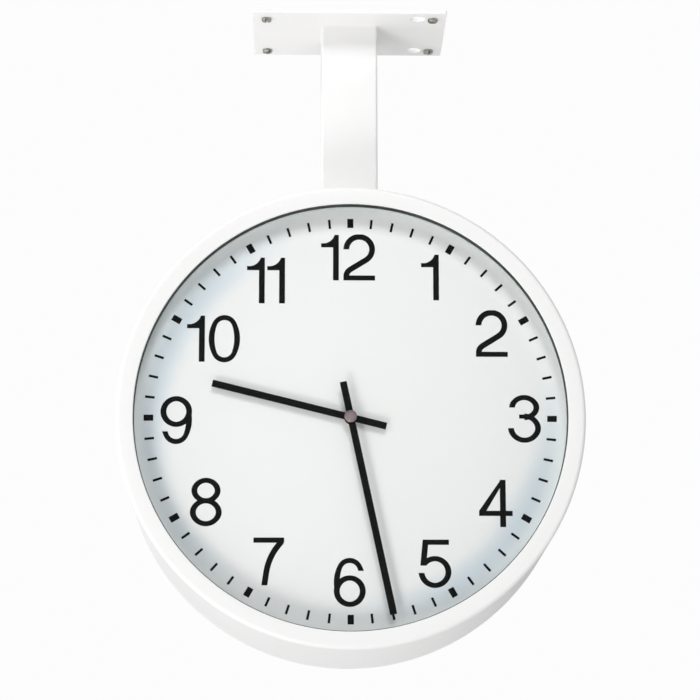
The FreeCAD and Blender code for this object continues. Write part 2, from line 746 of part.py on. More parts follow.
def digit_7():
    """A top bar over a long curve that falls to the left."""
    half_w = 13.0
    start = (half_w - 2.1, DIGIT_TOP - BAR + 1.0)
    long_curve = (48.0, 36.0)
    tail = (14.0,)
    fall = stroke(start, 226, [long_curve, tail], STEM)
    fall = fall.common(area(-half_w, half_w, -DIGIT_TOP, DIGIT_TOP))
    return fused([area(-half_w, half_w, DIGIT_TOP - BAR, DIGIT_TOP), fall])


def digit_8():
    """Two bowls, one on the other."""
    upper_h = 11.0
    lower_h = ROUND_TOP - upper_h + BAR / 2
    upper_half_w = WIDE - 1.1
    upper = bowl(ROUND_TOP - upper_h, upper_half_w, upper_h)
    return fused([upper, bowl(lower_h - ROUND_TOP, WIDE, lower_h)])


def digit_9():
    """A six turned upside down."""
    nine = digit_6()
    nine.rotate(Vector(0, 0, 0), Vector(0, 0, 1), 180)
    return nine


DIGITS = (digit_0, digit_1, digit_2, digit_3, digit_4, digit_5, digit_6, digit_7, digit_8, digit_9)


def numeral(hour):
    """The digits of one hour, side by side about their middle."""
    if hour < 10:
        return [DIGITS[hour]()]
    gap = {10: TEN_GAP, 11: ELEVEN_PITCH - ONE_W, 12: TWELVE_GAP}[hour]
    first = digit_1()
    second = DIGITS[hour - 10]()
    second_w = second.BoundBox.XLength
    whole = ONE_W + gap + second_w
    first.translate(Vector((ONE_W - whole) / 2, 0, 0))
    second.translate(Vector((whole - second_w) / 2, 0, 0))
    return [first, second]


def dial_print():
    """Twelve numerals and sixty marks."""
    pieces = []
    for k in range(MARK_COUNT):
        width = HOUR_MARK_W if k % 5 == 0 else MINUTE_MARK_W
        mark = area(-width / 2, width / 2, MARK_R - MARK_L / 2, MARK_R + MARK_L / 2)
        mark.rotate(Vector(0, 0, 0), Vector(0, 0, 1), -360.0 * k / MARK_COUNT)
        pieces.append(mark)
    insets = {3: SIDE_NUMERAL_INSET, 9: SIDE_NUMERAL_INSET, 10: TEN_INSET}
    for hour in range(1, 13):
        x, y = polar(AXIS, MARK_R - insets.get(hour, NUMERAL_INSET), 90 - 30 * hour)
        right, up = NUMERAL_SHIFT.get(hour, (0.0, 0.0))
        for digit in numeral(hour):
            digit.translate(Vector(x + right, y + up, 0))
            pieces.append(digit)
    return Part.makeCompound(pieces)


# ---- hands ----

def hand(length, tail, front, bore, clockwise):
    """A flat bar with a round hub, at an angle clockwise from 12."""
    blade_near = front + (HAND_HUB_T - HAND_T) / 2
    blade = block(-HAND_W / 2, HAND_W / 2, -tail, length, blade_near, blade_near + HAND_T)
    hub = rod(HAND_HUB_R, front, front + HAND_HUB_T)
    whole = fused([blade, hub]).cut(rod(bore, front - 1, front + HAND_HUB_T + 1))
    whole.rotate(Vector(0, 0, 0), Vector(0, 0, 1), -clockwise)
    return whole


def hand_cap():
    """Smoked clear dome pressed on the end of the minute arbor."""
    low = MINUTE_HUB_FRONT
    rim = low - CAP_EDGE
    rise = CAP_H - CAP_EDGE
    sphere_r = (CAP_R ** 2 + rise ** 2) / (2 * rise)
    dome = Part.makeSphere(sphere_r, Vector(0, 0, -CAP_FRONT - sphere_r))
    cap = fused([dome.common(rod(CAP_R, CAP_FRONT, rim)), rod(CAP_R, rim, low)])
    return cap.cut(rod(MINUTE_ARBOR_R, low - CAP_SOCKET, low))


# ---- movement ----

def movement_housing():
    """Moulded box, open at the back, with the battery bay below and a stud for the minute wheel."""
    half_w = HOUSING_HALF_W
    wall = HOUSING_WALL
    box = block(-half_w, half_w, -HOUSING_BOTTOM, HOUSING_TOP, HOUSING_FACE, COVER_DEPTH)
    inner = half_w - wall
    works = block(-inner, inner, BAY_TOP + wall, HOUSING_TOP - wall, HOUSING_INSIDE, COVER_BACK)
    bay = block(-inner, inner, -HOUSING_BOTTOM + wall, BAY_TOP, HOUSING_INSIDE, COVER_BACK)
    stud = rod(ARBOR_R + RUN, HOUSING_FACE, CENTRE_LEVEL - LEVEL_GAP / 2, MINUTE_WHEEL_AT)
    pieces = [box.cut(works).cut(bay), rod(BUSH_R, BUSH_END, HOUSING_INSIDE), stud]
    pieces += [rod(POST_R, HOUSING_FACE, STATOR_LEVEL, at) for at in stator_posts()]
    pieces += [rod(POST_R, HOUSING_FACE, HOUSING_FACE + BOARD_DEPTH, at) for at in board_posts()]
    whole = fused(pieces).cut(rod(BUSH_BORE, BUSH_END - 1, HOUSING_INSIDE + 1))
    for at in (INTERMEDIATE_AT, ROTOR_AT, SETTING_AT):
        whole = whole.cut(rod(PIVOT_R + RUN, HOUSING_INSIDE - PIVOT_L - RUN, HOUSING_INSIDE, at))
    return whole


def movement_cover():
    """Lid over the works; the setting shaft comes out through it."""
    lid = block(-HOUSING_HALF_W, HOUSING_HALF_W, BAY_TOP, HOUSING_TOP, COVER_DEPTH, COVER_BACK)
    for at in (INTERMEDIATE_AT, ROTOR_AT):
        lid = lid.cut(rod(PIVOT_R + RUN, COVER_DEPTH, COVER_DEPTH + PIVOT_L + RUN, at))
    lid = lid.cut(rod(MINUTE_PIVOT_R + RUN, COVER_DEPTH, COVER_DEPTH + PIVOT_L + RUN))
    return lid.cut(rod(SETTING_SHAFT_R + RUN, COVER_DEPTH, COVER_BACK, SETTING_AT))


def battery():
    """An AA cell with its raised contact to the right."""
    body_l = BATTERY_L - BATTERY_NUB_L
    along = Vector(1, 0, 0)
    start = Vector(-BATTERY_L / 2, BATTERY_Y, -BATTERY_DEPTH)
    body = Part.makeCylinder(BATTERY_R, body_l, start, along)
    nub = Part.makeCylinder(BATTERY_NUB_R, BATTERY_NUB_L, start + along * body_l, along)
    return fused([body, nub])


def battery_contacts():
    """A sprung strip at each end of the battery."""
    wall_x = HOUSING_HALF_W - HOUSING_WALL
    strips = []
    for side in (-1, 1):
        outside = side * wall_x
        inside = side * (wall_x - CONTACT_T)
        strip = block(min(outside, inside), max(outside, inside), BATTERY_Y - BATTERY_R,
                      BATTERY_Y + BATTERY_R, HOUSING_INSIDE, COVER_DEPTH)
        at = Vector(inside, BATTERY_Y, -BATTERY_DEPTH)
        boss = Part.makeCone(CONTACT_R, BATTERY_NUB_R, CONTACT_REACH, at, Vector(-side, 0, 0))
        strips.append(fused([strip, boss]))
    return strips


def minute_arbor():
    """Arbor that carries the minute hand, with the cannon pinion."""
    pinion = toothed(CANNON_TEETH, CANNON_MODULE, PINION_ADDENDUM, 0, CANNON_LEVEL,
                     CANNON_LEVEL + GEAR_T, AXIS)
    shaft = rod(MINUTE_ARBOR_R, MINUTE_HUB_FRONT - CAP_SOCKET, COVER_DEPTH - END_PLAY)
    pivot = rod(MINUTE_PIVOT_R, COVER_DEPTH - END_PLAY, COVER_DEPTH + PIVOT_L)
    return fused([shaft, pinion, pivot])


def minute_wheel():
    """Runs on the housing's stud; its wheel meets the cannon pinion and its pinion the hour wheel."""
    phase = meshing_phase(0, CANNON_TEETH, MOTION_DIRECTION, MINUTE_WHEEL_TEETH)
    wheel = toothed(MINUTE_WHEEL_TEETH, CANNON_MODULE, WHEEL_ADDENDUM, phase, CANNON_LEVEL,
                    CANNON_LEVEL + GEAR_T, MINUTE_WHEEL_AT)
    pinion = toothed(MINUTE_PINION_TEETH, MOTION_MODULE, PINION_ADDENDUM, MOTION_DIRECTION + 180,
                     MOTION_LEVEL, CANNON_LEVEL, MINUTE_WHEEL_AT)
    bore = rod(ARBOR_R + 2 * RUN, MOTION_LEVEL - 1, CANNON_LEVEL + GEAR_T + 1, MINUTE_WHEEL_AT)
    return fused([wheel, pinion]).cut(bore)


def hour_wheel():
    """Wheel and pipe that carry the hour hand, round the minute arbor."""
    phase = meshing_phase(MOTION_DIRECTION + 180, MINUTE_PINION_TEETH, MOTION_DIRECTION + 180, HOUR_TEETH)
    wheel = toothed(HOUR_TEETH, MOTION_MODULE, WHEEL_ADDENDUM, phase, MOTION_LEVEL,
                    MOTION_LEVEL + GEAR_T, AXIS)
    pipe = rod(HOUR_PIPE_R, HOUR_HUB_FRONT, MOTION_LEVEL)
    return fused([wheel, pipe]).cut(rod(HOUR_PIPE_BORE, HOUR_HUB_FRONT - 1, MOTION_LEVEL + GEAR_T + 1))


def centre_wheel():
    """Last wheel of the train, gripped by friction on the minute arbor."""
    wheel = toothed(CENTRE_TEETH, CENTRE_MODULE, WHEEL_ADDENDUM, 0, CENTRE_LEVEL,
                    CENTRE_LEVEL + GEAR_T, AXIS)
    hub = rod(MINUTE_ARBOR_R + HUB_EXTRA_R, CENTRE_LEVEL, TRAIN_LEVEL)
    return fused([wheel, hub]).cut(rod(MINUTE_ARBOR_R + RUN, CENTRE_LEVEL - 1, TRAIN_LEVEL + 1))


def intermediate_wheel():
    """Wheel driven by the rotor, with the pinion that drives the centre wheel."""
    pinion_phase = meshing_phase(0, CENTRE_TEETH, TRAIN_DIRECTION, TRAIN_PINION_TEETH)
    pinion = toothed(TRAIN_PINION_TEETH, CENTRE_MODULE, PINION_ADDENDUM, pinion_phase, CENTRE_LEVEL,
                     TRAIN_LEVEL, INTERMEDIATE_AT)
    wheel = toothed(INTERMEDIATE_TEETH, ROTOR_MODULE, WHEEL_ADDENDUM, 0, TRAIN_LEVEL,
                    TRAIN_LEVEL + GEAR_T, INTERMEDIATE_AT)
    return fused([arbor(INTERMEDIATE_AT), pinion, wheel])


def rotor():
    """Magnet and pinion on one arbor."""
    phase = meshing_phase(0, INTERMEDIATE_TEETH, ROTOR_DIRECTION, TRAIN_PINION_TEETH)
    pinion = toothed(TRAIN_PINION_TEETH, ROTOR_MODULE, PINION_ADDENDUM, phase, TRAIN_LEVEL,
                     TRAIN_LEVEL + GEAR_T, ROTOR_AT)
    magnet = rod(MAGNET_R, MAGNET_LEVEL, MAGNET_LEVEL + MAGNET_T, ROTOR_AT)
    return fused([arbor(ROTOR_AT, ROTOR_ARBOR_R), pinion, magnet])


def setting_knob():
    """Ribbed knob at the back, with a shaft and pinion that turn the minute wheel."""
    wheel_phase = meshing_phase(0, CANNON_TEETH, MOTION_DIRECTION, MINUTE_WHEEL_TEETH)
    phase = meshing_phase(wheel_phase, MINUTE_WHEEL_TEETH, MOTION_DIRECTION, CANNON_TEETH)
    pinion = toothed(CANNON_TEETH, CANNON_MODULE, PINION_ADDENDUM, phase, CANNON_LEVEL,
                     CANNON_LEVEL + GEAR_T, SETTING_AT)
    near = COVER_BACK + KNOB_CLEARANCE
    shaft = rod(SETTING_SHAFT_R, HOUSING_INSIDE + END_PLAY, near, SETTING_AT)
    pivot = rod(PIVOT_R, HOUSING_INSIDE - PIVOT_L, HOUSING_INSIDE + END_PLAY, SETTING_AT)
    points = []
    for k in range(2 * KNOB_RIBS):
        radius = KNOB_R - KNOB_RIB_DEPTH * (k % 2)
        points.append(polar(SETTING_AT, radius, 180.0 * k / KNOB_RIBS))
    knob = plate([(x, y, 0) for x, y in points], near, near + KNOB_T)
    return fused([shaft, pivot, pinion, knob])


def stator_posts():
    half_leg = STATOR_LEG_W / 2
    left_post = (-STATOR_LEFT + half_leg, STATOR_LEG_Y + half_leg)
    return [left_post, (ROTOR_AT[0] + STATOR_BLOCK - POST_R, STATOR_TOP_Y - POST_R)]


def stator():
    """Flat iron frame through the coil, with a hole for the rotor."""
    block_x0 = ROTOR_AT[0] - STATOR_BLOCK
    near = STATOR_LEVEL
    far = STATOR_LEVEL + STATOR_T
    frame = fused([
        block(-STATOR_LEFT, block_x0, STATOR_TOP_Y - STATOR_LEG_W, STATOR_TOP_Y, near, far),
        block(-STATOR_LEFT, block_x0, STATOR_LEG_Y, STATOR_LEG_Y + STATOR_LEG_W, near, far),
        block(-STATOR_LEFT, -STATOR_LEFT + STATOR_LEG_W, STATOR_LEG_Y, STATOR_TOP_Y, near, far),
        block(block_x0, ROTOR_AT[0] + STATOR_BLOCK, ROTOR_AT[1] - STATOR_BLOCK, STATOR_TOP_Y, near, far),
    ])
    return frame.cut(rod(MAGNET_R + STATOR_GAP, near - 1, far + 1, ROTOR_AT))


def coil():
    """Wound bobbin on the stator's upper leg."""
    centre_y = STATOR_TOP_Y - STATOR_LEG_W / 2
    left = -STATOR_LEFT + STATOR_LEG_W + END_PLAY
    depth = STATOR_LEVEL + STATOR_T / 2
    along = Vector(1, 0, 0)
    start = Vector(left, centre_y, -depth)
    pieces = [Part.makeCylinder(COIL_R - COIL_WINDING_INSET, COIL_L, start, along)]
    for x in (left, left + COIL_L - COIL_FLANGE_T):
        pieces.append(Part.makeCylinder(COIL_R, COIL_FLANGE_T, Vector(x, centre_y, -depth), along))
    gap = COIL_BORE_GAP
    core = block(left - 1, left + COIL_L + 1, STATOR_TOP_Y - STATOR_LEG_W - gap, STATOR_TOP_Y + gap,
                 STATOR_LEVEL - gap, STATOR_LEVEL + STATOR_T + gap)
    return fused(pieces).cut(core)


def board_posts():
    low = BOARD_Y[0] + POST_INSET
    return [(BOARD_X[0] + POST_INSET, low), (BOARD_X[1] - POST_INSET, low)]


def circuit_board():
    """Board on its posts, with the chip and the crystal on its back."""
    near = HOUSING_FACE + BOARD_DEPTH
    far = near + BOARD_T
    middle = ((BOARD_X[0] + BOARD_X[1]) / 2, (BOARD_Y[0] + BOARD_Y[1]) / 2)
    chip = rod(CHIP_R, far, far + CHIP_T, middle)
    can_at = Vector(BOARD_X[0] + POST_INSET, middle[1] + CHIP_R + 2 * CRYSTAL_R, -far - CRYSTAL_R)
    can = Part.makeCylinder(CRYSTAL_R, CRYSTAL_L, can_at, Vector(1, 0, 0))
    return fused([block(BOARD_X[0], BOARD_X[1], BOARD_Y[0], BOARD_Y[1], near, far), chip, can])


# ---- placing and export ----

def place_front(shape):
    """From a side's own frame to the front of the clock."""
    placed = shape.copy()
    placed.rotate(Vector(0, 0, 0), Vector(1, 0, 0), 90)
    placed.translate(Vector(0, -CASE_DEPTH / 2, AXIS_Z))
    return placed


def place_rear(shape):
    placed = place_front(shape)
    placed.rotate(Vector(0, 0, 0), Vector(0, 0, 1), 180)
    return placed


def save(name, shape):
    shape.exportStep("parts/" + name + ".step")


def save_sides(name, shape):
    """One node for each side of the clock."""
    save("front_" + name, place_front(shape))
    save("rear_" + name, place_rear(shape))


def save_pairs(name, shapes):
    """One node that holds the same small pieces of both sides."""
    placed = [place_front(shape) for shape in shapes] + [place_rear(shape) for shape in shapes]
    save(name, Part.makeCompound(placed))


os.makedirs("parts", exist_ok=True)

save("ceiling_plate", ceiling_plate())
save("ceiling_screws", Part.makeCompound([
    ceiling_screw(x, y, angle) for (x, y), angle in zip(screw_places(), SLOT_ANGLES)
]))
save("suspension_arm", square_tube(ARM_W, ARM_WALL, FOOT_TOP_Z, -PLATE_T))
save("arm_foot", arm_foot())
save("arm_bolts", Part.makeCompound([foot_bolt(x, y) for x, y in bolt_places()]))
save("arm_nuts", Part.makeCompound([foot_nut(x, y) for x, y in bolt_places()]))
save("saddle_bracket", saddle_bracket())
save("case_drum", case_drum())
mount_ring = tube(DRUM_INNER_R, DRUM_INNER_R - MOUNT_RING_W, DIAL_BACK, MOUNT_RING_BACK)
save_pairs("dial_mount_rings", [mount_ring])
save_pairs("bezel_clips", bezel_clips())

save_sides("bezel", bezel())
save_sides("glass_seal", glass_seal())
save_sides("glass", rod(GLASS_R, GLASS_DEPTH, GLASS_DEPTH + GLASS_T))
save_sides("spacer_ring", tube(SPACER_R + SPACER_W, SPACER_R, SPACER_START, DIAL_DEPTH))
save_sides("dial", tube(DIAL_R, BUSH_R + DIAL_HOLE_GAP, DIAL_DEPTH, DIAL_BACK))
save_sides("dial_print", dial_print())

save_pairs("shaft_gaskets", [tube(GASKET_R, BUSH_R, DIAL_BACK, HOUSING_FACE)])
save_pairs("shaft_washers", [tube(WASHER_R, BUSH_R, DIAL_DEPTH - WASHER_T, DIAL_DEPTH)])
save_pairs("shaft_nuts", [tube(NUT_R, BUSH_R, DIAL_DEPTH - WASHER_T - NUT_T, DIAL_DEPTH - WASHER_T)])
save_sides("movement_housing", movement_housing())
save_sides("movement_cover", movement_cover())
save_sides("battery", battery())
save_pairs("battery_contacts", battery_contacts())
save_sides("coil", coil())
save_sides("stator", stator())
save_sides("circuit_board", circuit_board())
save_sides("rotor", rotor())
save_sides("intermediate_wheel", intermediate_wheel())
save_sides("centre_wheel", centre_wheel())
save_sides("minute_arbor", minute_arbor())
save_sides("minute_wheel", minute_wheel())
save_sides("hour_wheel", hour_wheel())
save_sides("setting_knob", setting_knob())

hour_hand = hand(HOUR_HAND_L, HOUR_HAND_TAIL, HOUR_HUB_FRONT, HOUR_PIPE_R, HOUR_HAND_ANGLE)
save_sides("hour_hand", hour_hand)
minute_hand = hand(MINUTE_HAND_L, MINUTE_HAND_TAIL, MINUTE_HUB_FRONT, MINUTE_ARBOR_R, MINUTE_HAND_ANGLE)
save_sides("minute_hand", minute_hand)
save_sides("hand_cap", hand_cap())
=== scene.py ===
import math
import bmesh
import bpy
import numpy as np
from mathutils import Matrix, Vector


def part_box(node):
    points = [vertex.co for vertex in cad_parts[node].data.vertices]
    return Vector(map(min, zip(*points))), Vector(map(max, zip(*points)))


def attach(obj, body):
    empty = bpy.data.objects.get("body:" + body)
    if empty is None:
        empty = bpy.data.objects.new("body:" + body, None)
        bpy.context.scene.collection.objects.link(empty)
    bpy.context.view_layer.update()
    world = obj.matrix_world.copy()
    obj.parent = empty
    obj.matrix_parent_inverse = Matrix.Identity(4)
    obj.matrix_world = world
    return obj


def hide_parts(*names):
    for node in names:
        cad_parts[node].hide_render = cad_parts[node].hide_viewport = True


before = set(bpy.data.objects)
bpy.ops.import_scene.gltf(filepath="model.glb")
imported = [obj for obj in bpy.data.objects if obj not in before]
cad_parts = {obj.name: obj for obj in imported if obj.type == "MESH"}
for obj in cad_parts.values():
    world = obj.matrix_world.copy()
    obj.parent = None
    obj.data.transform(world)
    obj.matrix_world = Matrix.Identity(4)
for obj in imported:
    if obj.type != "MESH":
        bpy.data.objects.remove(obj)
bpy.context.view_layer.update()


# ---- Ceiling plate ----
# Steel plate, 3 mm thick, punched for four screws and two larger spare holes. The arm is welded
# to its underside and both are powder coated satin white together. Four screws hold it up.

class Signal:
    """An output socket of a finish, so that shader maths is written as plain arithmetic."""

    def __init__(self, finish, socket):
        self.finish = finish
        self.socket = socket

    def calculate(self, operation, first, second):
        return self.finish.add("ShaderNodeMath", {"operation": operation}, {0: first, 1: second})

    def __add__(self, other):
        return self.calculate("ADD", self, other)

    def __sub__(self, other):
        return self.calculate("SUBTRACT", self, other)

    def __rsub__(self, other):
        return self.calculate("SUBTRACT", other, self)

    def __mul__(self, other):
        return self.calculate("MULTIPLY", self, other)

    def __truediv__(self, other):
        return self.calculate("DIVIDE", self, other)

    __radd__ = __add__
    __rmul__ = __mul__

    def root(self):
        """The square root."""
        return self.calculate("POWER", self, 0.5)

    def wave(self):
        """The sine, from -1 to 1."""
        return self.calculate("SINE", self, 0.0)


class Finish:
    """A material on a piece's Object coordinates; one method adds every kind of node."""

    def __init__(self, name):
        self.material = bpy.data.materials.new(name)
        self.material.use_nodes = True
        self.nodes = self.material.node_tree.nodes
        self.links = self.material.node_tree.links
        self.nodes.clear()
        self.place = self.add("ShaderNodeTexCoord", {}, {}, "Object")

    def add(self, kind, settings, inputs, output=0):
        """A node of that kind: its settings first, then the values or links of its sockets."""
        node = self.nodes.new(kind)
        for name, value in settings.items():
            if name == "stops":
                set_stops(node.color_ramp, value)
            else:
                setattr(node, name, value)
        for name, value in inputs.items():
            if isinstance(value, Signal):
                self.links.new(value.socket, node.inputs[name])
            else:
                node.inputs[name].default_value = value
        return Signal(self, node.outputs[output]) if node.outputs else None

    def noise(self, scale, detail=2.0, stretch=None):
        """Noise from 0 to 1, with that many lumps to the metre, drawn out along an axis if asked."""
        place = self.place
        if stretch is not None:
            place = self.add("ShaderNodeMapping", {}, {"Vector": place, "Scale": stretch})
        return self.add("ShaderNodeTexNoise", {}, {"Vector": place, "Scale": scale, "Detail": detail})

    def between(self, low, high, factor):
        """A colour on the way from low to high."""
        return self.add("ShaderNodeMix", {"data_type": "RGBA"},
                        {"Factor": factor, 6: (*low, 1.0), 7: (*high, 1.0)}, 2)

    def ramp(self, factor, *stops):
        """A colour read off stops of (place, colour)."""
        return self.add("ShaderNodeValToRGB", {"stops": stops}, {"Fac": factor})

    def span(self, value, start, end):
        """0 at start and before it, 1 at end and past it, with soft ends."""
        return self.add("ShaderNodeMapRange", {"interpolation_type": "SMOOTHSTEP"},
                        {"Value": value, "From Min": start, "From Max": end})

    def tint(self, ground, colour, amount):
        """The ground multiplied by a colour, by that amount."""
        return self.add("ShaderNodeMix", {"data_type": "RGBA", "blend_type": "MULTIPLY"},
                        {"Factor": amount, 6: ground, 7: (*colour, 1.0)}, 2)

    def bump(self, height, depth):
        """A normal for a surface whose height runs over that depth in metres."""
        return self.add("ShaderNodeBump", {}, {"Height": height, "Distance": depth, "Strength": 1.0})

    def axis(self, name):
        """One coordinate of the place, in metres."""
        return self.add("ShaderNodeSeparateXYZ", {}, {"Vector": self.place}, name)

    def surface(self, **sockets):
        """Closes the finish with one Principled shader; socket names use _ for a space."""
        shader = self.add("ShaderNodeBsdfPrincipled", {},
                          {name.replace("_", " "): value for name, value in sockets.items()})
        self.add("ShaderNodeOutputMaterial", {}, {"Surface": shader})
        return self.material


def set_stops(ramp, stops):
    """Writes the (place, colour) stops of a colour ramp."""
    while len(ramp.elements) < len(stops):
        ramp.elements.new(1.0)
    for element, (place, colour) in zip(ramp.elements, stops):
        element.position = place
        element.color = (*colour, 1.0)


def powder_coat(name, tone):
    """Satin powder coat: a slow drift of tone, fused-powder orange peel and a little fine dust."""
    paint = Finish(name)
    drift = paint.noise(9.0)
    peel = paint.noise(520.0, 3.0)
    dust = paint.noise(1900.0, 1.0)
    shade = drift * 0.7 + dust * 0.3
    dull = tuple(channel * 0.965 for channel in tone)
    return paint.surface(
        Base_Color=paint.between(dull, tone, shade),
        Roughness=peel * 0.10 + drift * 0.06 + 0.30,
        Normal=paint.bump(peel, 0.00006),
        Specular_IOR_Level=0.45,
    )


MERGE_WITHIN = 2e-6
FLAT_WITHIN = math.radians(0.6)
SHARP_FROM = math.radians(35)
PLATE_EDGE = 0.0004


def softened(node, name, edge_radius, segments=3):
    """A copy of a CAD node: its triangles merged into flat faces, and every sharp edge rounded."""
    shape = bmesh.new()
    shape.from_mesh(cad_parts[node].data)
    bmesh.ops.remove_doubles(shape, verts=shape.verts, dist=MERGE_WITHIN)
    bmesh.ops.dissolve_limit(shape, angle_limit=FLAT_WITHIN, verts=shape.verts, edges=shape.edges)
    mesh = bpy.data.meshes.new(name)
    shape.to_mesh(mesh)
    shape.free()
    mesh.shade_smooth()
    piece = bpy.data.objects.new(name, mesh)
    bpy.context.scene.collection.objects.link(piece)
    rounding = piece.modifiers.new("rounded_edges", "BEVEL")
    rounding.width = edge_radius
    rounding.segments = segments
    rounding.limit_method = "ANGLE"
    rounding.angle_limit = SHARP_FROM
    rounding.miter_outer = "MITER_ARC"
    flat = piece.modifiers.new("flat_faces", "WEIGHTED_NORMAL")
    flat.weight = 100
    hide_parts(node)
    return piece


def finished(piece, material, body="clock"):
    """Gives a piece its one material and the body that it moves with."""
    piece.data.materials.clear()
    piece.data.materials.append(material)
    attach(piece, body)


# The mount's white is the case's paint made a shade lighter: painted light on the plate and arm.
mount_coat_painted_lighter = powder_coat("white_powder_coat_mount_painted_lighter", (0.90, 0.893, 0.89))
finished(softened("ceiling_plate", "ceiling_plate_sheet", PLATE_EDGE), mount_coat_painted_lighter)


# ---- Suspension arm ----
# Square steel tube, 50 mm wide with a 2 mm wall and small corner radii. It is welded to the
# plate with a thin bead that the powder coat fills, and goes down through the drum to its foot.

def closed_loop(half_width, corner_radius, corner_steps):
    """Points round a square with round corners: each corner is a quarter circle in equal steps."""
    turn = np.linspace(0, np.pi / 2, corner_steps)
    starts = np.arange(4)[:, None] * np.pi / 2
    angles = starts + turn
    middles = half_width - corner_radius
    centre_x = middles * np.sqrt(2) * np.cos(starts + np.pi / 4)
    centre_y = middles * np.sqrt(2) * np.sin(starts + np.pi / 4)
    x = centre_x + corner_radius * np.cos(angles)
    y = centre_y + corner_radius * np.sin(angles)
    return np.stack([x.ravel(), y.ravel()], 1)


def skin(name, rings, wrap_rings):
    """A mesh over a grid of points (rings, points round, 3): each cell is one quad face."""
    count, around = rings.shape[:2]
    rows = np.arange(count if wrap_rings else count - 1)
    cols = np.arange(around)
    r, c = np.meshgrid(rows, cols, indexing="ij")
    r2 = (r + 1) % count
    c2 = (c + 1) % around
    faces = np.stack([r * around + c, r * around + c2, r2 * around + c2, r2 * around + c], -1)
    mesh = bpy.data.meshes.new(name)
    mesh.from_pydata(rings.reshape(-1, 3), [], faces.reshape(-1, 4).tolist())
    mesh.shade_smooth()
    piece = bpy.data.objects.new(name, mesh)
    bpy.context.scene.collection.objects.link(piece)
    return piece


POLE_MERGE = 1e-7


def facing_out(piece):
    """Merges the points that meet at a pole, and turns every face outwards."""
    shape = bmesh.new()
    shape.from_mesh(piece.data)
    bmesh.ops.remove_doubles(shape, verts=shape.verts, dist=POLE_MERGE)
    bmesh.ops.recalc_face_normals(shape, faces=shape.faces)
    shape.to_mesh(piece.data)
    shape.free()
    return piece


def crisp(piece, degrees=40.0):
    """Keeps folds sharper than this angle as edges, and shades the rest smooth."""
    piece.data.set_sharp_from_angle(angle=math.radians(degrees))
    return piece


arm_low, arm_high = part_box("suspension_arm")
arm_half = (arm_high.x - arm_low.x) / 2
ARM_WALL = 0.002
ARM_CORNER = 0.0025
ARM_INNER_CORNER = 0.0008
CORNER_STEPS = 9
WELD = 0.0013
WELD_STEPS = 6

section = []
for k in range(WELD_STEPS + 1):
    sweep = math.pi / 2 * k / WELD_STEPS
    section.append((WELD * (1 - math.sin(sweep)), arm_high.z - WELD * (1 - math.cos(sweep))))
section.append((0.0, arm_low.z))
section.append((-ARM_WALL, arm_low.z))
section.append((-ARM_WALL, arm_high.z))
rings = []
for offset, height in section:
    corner = ARM_CORNER + offset if offset > -ARM_WALL else ARM_INNER_CORNER
    loop = closed_loop(arm_half + offset, corner, CORNER_STEPS)
    rings.append(np.column_stack([loop, np.full(len(loop), height)]))
arm = crisp(facing_out(skin("suspension_arm_tube", np.array(rings), True)))
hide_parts("suspension_arm")
finished(arm, mount_coat_painted_lighter)


# ---- Ceiling screws ----
# Four slotted machine screws of bright zinc plated steel, with low flat heads whose lower edge is
# rounded. The short threaded end of each goes up through the plate into an insert.

def bright_zinc():
    """Zinc plate: turning rings are too fine to see, so a soft mottle and small pores."""
    zinc = Finish("bright_zinc_plate")
    mottle = zinc.noise(700.0, 3.0)
    pores = zinc.noise(3200.0, 2.0)
    return zinc.surface(
        Base_Color=zinc.between((0.20, 0.195, 0.17), (0.60, 0.59, 0.55), mottle),
        Metallic=1.0,
        Roughness=pores * 0.25 + 0.22,
        Normal=zinc.bump(pores, 0.00004),
    )


SCREW_SPACING = (0.148, 0.085)
SLOT_TURNS = (80.0, 120.0, 30.0, 107.0)
SLOT_WIDTH = 0.0014
SLOT_DEPTH = 0.0020
HEAD_ROUND = 0.0010
HEAD_CROWN = 0.00025
HEAD_EDGE = 0.0001
HEAD_SHARES = (0.05, 0.4, 0.7, 0.9)
BEND_POINTS = 7
NECK_RADIUS = 0.0026
SHANK_RADIUS = 0.0024
THREAD_PITCH = 0.0008
THREAD_DEPTH = 0.00035
THREAD_STEPS = 8
THREAD_END = 0.0002
TIP_TAPER = 0.0006
TIP_WIDTH = 0.8
ROUND_STEPS = 48
screws_low, screws_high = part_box("ceiling_screws")
plate_low, plate_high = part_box("ceiling_plate")
head_radius = (screws_high.x - screws_low.x - SCREW_SPACING[0]) / 2
head_height = plate_low.z - screws_low.z


